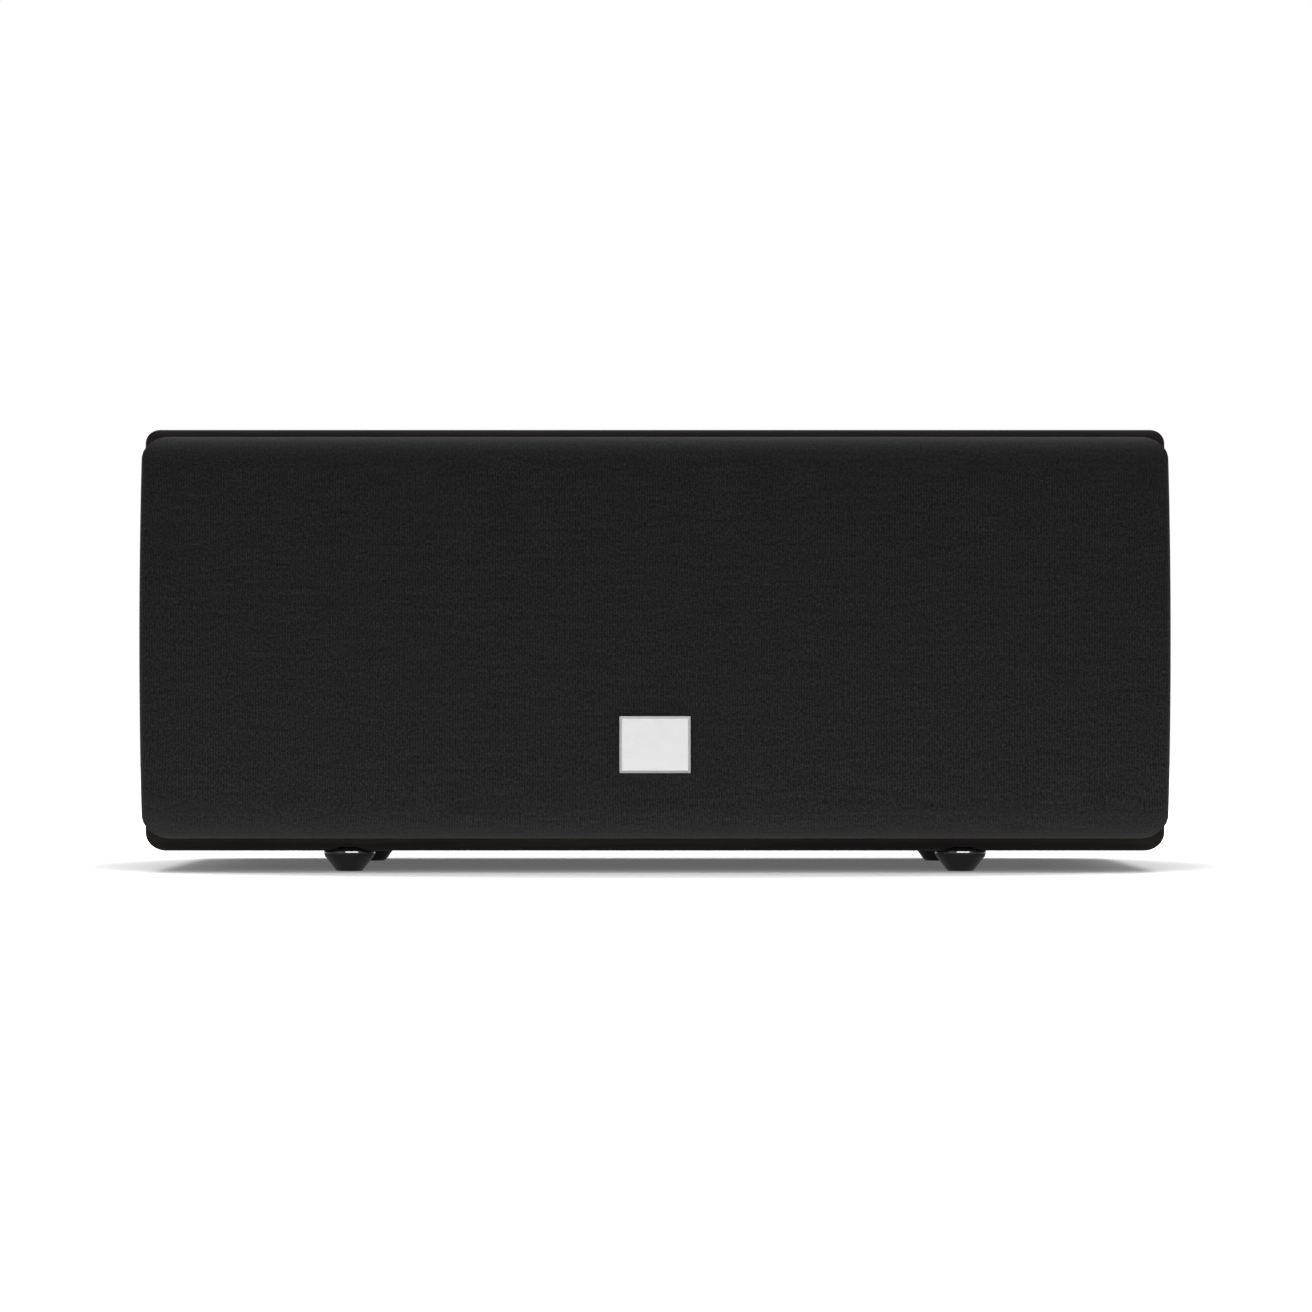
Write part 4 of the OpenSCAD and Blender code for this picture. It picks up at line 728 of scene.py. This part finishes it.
def dome_cap():
    """Cap of the tweeter's dome: a ball's top of height DOME_H over radius DOME_R.

    The ball's radius is (DOME_R^2 + DOME_H^2) / (2 DOME_H).
    """
    ball = (DOME_R ** 2 + DOME_H ** 2) / (2 * DOME_H)
    radius = np.linspace(0.02, DOME_R + 0.1, 40)
    cap = np.stack([radius, DOME_BASE - DOME_H + ball - np.sqrt(ball ** 2 - radius ** 2)], 1)
    return turned("tweeter_cap", band(cap, DOME_T), DOME, driver_seat(0))


surround_roll = half_roll(middle=43.75, half=3.5, high=3.4, seat=0.6, lips=(37.5, 52.7), points=61,
                          step=0.3, reach=0.6, thickness=0.8)
for side, x in SIDES:
    bending_ring(f"{side}_surround", surround_roll, RUBBER, f"woofer_surround_{side}", x,
                 24)
    bending_ring(f"{side}_spider", spider_profile(), SPIDER, f"woofer_spider_{side}", x,
                 12)

made(dome_cap(), "tweeter_diaphragm", "tweeter_dome")
dome_roll = half_roll(middle=14.5, half=1.6, high=1.5, seat=DOME_BASE - 0.2, lips=(12.3, 19.3), points=31,
                      step=0.15, reach=0.25, thickness=DOME_T)
bending_ring("tweeter_roll", dome_roll, DOME, "tweeter_dome", 0.0,
             12)


# Screws
def cross_recess(head_top, reach, width, deep):
    """Extra depth inside a plus-shaped recess of this reach and half width, which is deep at its floor.

    It falls to 0 over a side lean of 0.16 and an end lean of 0.3, and only the head's top face has it.
    """
    def dent(across, up, depth):
        long = np.maximum(np.abs(across), np.abs(up))
        short = np.minimum(np.abs(across), np.abs(up))
        inside = np.clip((width - short) / 0.16 + 0.5, 0, 1) * np.clip((reach - long) / 0.3 + 0.5, 0, 1)
        return inside * deep * (depth < head_top + 0.55)
    return dent


def screw(name, seat, size, material):
    """A pan-head screw whose seat face is depth 0, turned about the seat's axis.

    The head's top is depth = 0.3 s^2 - its height, for s from 0 on the axis to 1 at its rim.
    """
    head_r, head_h, shank_r, length = size
    share = np.linspace(0.01, 1, 26)
    top = np.stack([share * (head_r - 0.25), -head_h + 0.3 * share ** 2], 1)
    skirt = [[head_r, -head_h + 0.6], [head_r, 0], [shank_r, 0], [shank_r, length - 1.5],
             [0.3, length], [0.01, length]]
    plus = cross_recess(-head_h, head_r * 0.6, head_r * 0.13, min(0.7 * head_h, 0.9))
    return turned(name, np.concatenate([top, skirt]), material, seat, steps=97, dent=plus)


def facing(x, y, z, way):
    """A screw's seat at (x, y, z) on the front, rear or underside, its cross at an angle of its own."""
    axes = {"front": ((1, 0, 0), (0, 0, 1), (0, 1, 0)), "rear": ((1, 0, 0), (0, 0, -1), (0, -1, 0)),
            "down": ((0, 1, 0), (1, 0, 0), (0, 0, 1))}[way]
    tilt = math.radians((x * 37 + z * 53 + y * 11) % 90)
    c, s = math.cos(tilt), math.sin(tilt)
    u, v = np.array(axes[0], float), np.array(axes[1], float)
    return (x, y, z), u * c + v * s, v * c - u * s, axes[2]


def black_screw(name, x, y, z, way, size, node):
    made(screw(name, facing(x, y, z, way), size, BLACK_STEEL), "cabinet", node)


BASKET_RING = 56
TWEETER_PLATE = 46
CUP_X, CUP_Z, CUP_T = 35.5, 25.5, 2.5
FOOT_FLOOR = 3.2
for x in (-WOOFER_X, WOOFER_X):
    for a in (45, 135, 225, 315):
        black_screw(f"woofer_screw_{x:.0f}_{a}", x + BASKET_RING * math.cos(math.radians(a)), Y_FRONT,
                    Z_MID + BASKET_RING * math.sin(math.radians(a)), "front", DRIVER_SCREW, "woofer_screws")
for x in (-1, 1):
    for z in (-1, 1):
        black_screw(f"tweeter_screw_{x}_{z}", TWEETER_PLATE * x, Y_FRONT, Z_MID + TWEETER_PLATE * z, "front",
                    DRIVER_SCREW, "tweeter_screws")
        black_screw(f"cup_screw_{x}_{z}", CUP_X * x, Y_PANEL + CUP_T, Z_MID + CUP_Z * z, "rear",
                    CUP_SCREW, "cup_screws")
for x in (-120, 120):
    for y in (-79, 71):
        made(screw(f"foot_screw_{x}_{y}", facing(x, y, FOOT_FLOOR, "down"), FOOT_SCREW, STEEL),
             "cabinet", "foot_screws")


# Damping pads
def wadding_pad(name, x):
    """A pillow of wadding: thick to near its rim, which rounds off, with soft hollows on its underside.

    Half thickness h = H (1 - max(|u|, |v|)^9)^(1/2), and the underside rises by a sum of slow sines.
    """
    n = 61
    u, v = np.meshgrid(np.linspace(-1, 1, n), np.linspace(-1, 1, n))
    rim = np.maximum(np.abs(u), np.abs(v))
    half = (PAD_HIGH - PAD_LOW) / 2 * np.sqrt(np.clip(1 - rim ** 9, 0, 1))
    bulge = 1 - 0.06 * np.minimum(np.abs(u), np.abs(v)) ** 4
    px, py = x + u * bulge * PAD_W / 2, PAD_Y + v * bulge * PAD_L / 2
    middle = (PAD_LOW + PAD_HIGH) / 2
    slow = np.sin(px * 0.31 + 1.7) * np.sin(py * 0.27 + px * 0.05)
    quick = 0.6 * np.sin(px * 0.83 + py * 0.6) * np.sin(py * 0.71 - px * 0.2)
    tufts = (slow + quick) * 0.5 + 0.5
    under = middle - half * (0.98 - 0.22 * tufts)
    over = middle + half * (0.99 - 0.02 * tufts)
    points = np.concatenate([np.stack([px, py, face], -1).reshape(-1, 3) for face in (under, over)])
    quads = np.array(grid_faces(n, n))
    pad = piece_from(name, points, quads.tolist() + (quads[:, ::-1] + n * n).tolist(), WADDING)
    weld(pad, 0.00001)
    return pad


for side, x in SIDES:
    pad = made(wadding_pad(f"{side}_wadding", x), "cabinet", "damping_pads")


# Floor, light and camera
def floor():
    """White studio paper, far larger than the view, a square of 12 metres.

    Away from the object it glows white to the camera alone, so that it has no horizon. Everywhere it also
    glows 0.12 in every ray, a painted glow that lifts the shade under the cabinet and throws painted light
    onto the object.
    """
    half = 6000.0
    corners = [(-half, -half, 0), (half, -half, 0), (half, half, 0), (-half, half, 0)]
    p = Paint("white_studio_paper", (0.93, 0.93, 0.93), 0.9, Specular_IOR_Level=0.1)
    away = p.node("ShaderNodeVectorMath", {"operation": "LENGTH"}, {0: p.place((1.0, 1.3, 1.0))})
    far = Num(p, away.outputs["Value"]).step(0.2, 0.3)
    seen = Num(p, p.node("ShaderNodeLightPath").outputs["Is Camera Ray"])
    # Painted light: the 0.12 of glow reaches every ray, lifting the floor's shadow and lighting the object;
    # the 0.9 whitens the paper away from the object for the camera alone
    p.set(**{"Emission Color": (1, 1, 1, 1), "Emission Strength": far * seen * 0.9 + 0.12})
    ground = piece_from("floor", np.array(corners, dtype=float), [[0, 1, 2, 3]], p.material, smooth=False)


def lamp(name, place, aim, size, watts):
    """A soft rectangular lamp at place, facing aim, in millimetres."""
    data = bpy.data.lights.new(name, "AREA")
    data.shape = "RECTANGLE"
    data.size, data.size_y = size[0] * MM, size[1] * MM
    data.energy = watts
    lamp_object = bpy.data.objects.new(name, data)
    bpy.context.scene.collection.objects.link(lamp_object)
    start = np.array(place, dtype=float)
    forward = np.array(aim, dtype=float) - start
    forward /= np.linalg.norm(forward)
    side = np.cross(forward, (0, 0, 1.0))
    side = side / np.linalg.norm(side) if np.linalg.norm(side) > 1e-6 else np.array([1.0, 0, 0])
    up = np.cross(side, forward)
    matrix = np.eye(4)
    matrix[:3, 0], matrix[:3, 1], matrix[:3, 2], matrix[:3, 3] = side, up, -forward, start * MM
    lamp_object.matrix_world = Matrix(matrix.tolist())
    return lamp_object


def studio_lamps():
    """Overhead and front softboxes, the light that the paper throws up, and the glint on the feet."""
    overhead = lamp("overhead", (0, 600, 1700), (0, 600, 0), (2400, 2000), 44)
    overhead.visible_glossy = False
    lamp("left_front", (-1400, -1700, 420), (0, 0, 60), (1100, 800), 3.2)
    lamp("right_front", (1400, -1600, 400), (0, 0, 60), (900, 800), 2.45)
    bounce = lamp("floor_bounce", (0, -150, 3), (0, -150, 1000), (520, 90), 0.24)
    bounce.visible_glossy = False
    # A low softbox that only the glossy feet mirror
    glint = lamp("glint_on_feet", (330, -1750, 560), (0, -90, 10), (1900, 420), 95)
    glint.visible_diffuse = False
    feet = bpy.data.collections.new("glossy_feet")
    for node in ("foot_front_left", "foot_front_right", "foot_rear_left", "foot_rear_right"):
        feet.objects.link(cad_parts[node])
    glint.light_linking.receiver_collection = feet


def white_room():
    """The room is plain white to camera, glossy and transmission rays.

    On matte surfaces its light is even round the horizon, and falls to ZENITH_LIGHT overhead and to
    REAR_LIGHT of itself behind the object.
    """
    world = bpy.data.worlds.new("studio")
    bpy.context.scene.world = world
    world.use_nodes = True
    sky = Graph(world.node_tree)
    _, back, up = sky.parts(sky.node("ShaderNodeTexCoord").outputs["Generated"])
    light = up.step(0.25, 0.75, HORIZON_LIGHT, ZENITH_LIGHT) * back.step(0.1, 0.7, 1.0, REAR_LIGHT)
    rays = sky.node("ShaderNodeLightPath").outputs
    for ray in ("Is Camera Ray", "Is Glossy Ray", "Is Transmission Ray"):
        light = light.math("MAXIMUM", rays[ray])
    backdrop = sky.tree.nodes["Background"]
    sky.put(backdrop.inputs["Strength"], light)
    sky.put(backdrop.inputs["Color"], (1, 1, 1, 1))


def photograph_camera():
    """A level camera before the front, shifted so that its axis and horizon lie where the photograph's do."""
    lens = bpy.data.cameras.new("photograph")
    lens.sensor_width = 36.0
    lens.lens = FOCAL_PX / PHOTO * lens.sensor_width
    lens.shift_x = 0.5 - AXIS_X_PX / PHOTO
    lens.shift_y = HORIZON_PX / PHOTO - 0.5
    lens.clip_start = 0.05
    lens.clip_end = 50.0
    camera = bpy.data.objects.new("photograph", lens)
    camera.location = (0, CAMERA_Y * MM, CAMERA_Z * MM)
    camera.rotation_euler = (math.pi / 2, 0, 0)
    bpy.context.scene.collection.objects.link(camera)
    bpy.context.scene.camera = camera
    bpy.context.scene.view_settings.view_transform = "Standard"


floor()
studio_lamps()
white_room()
photograph_camera()
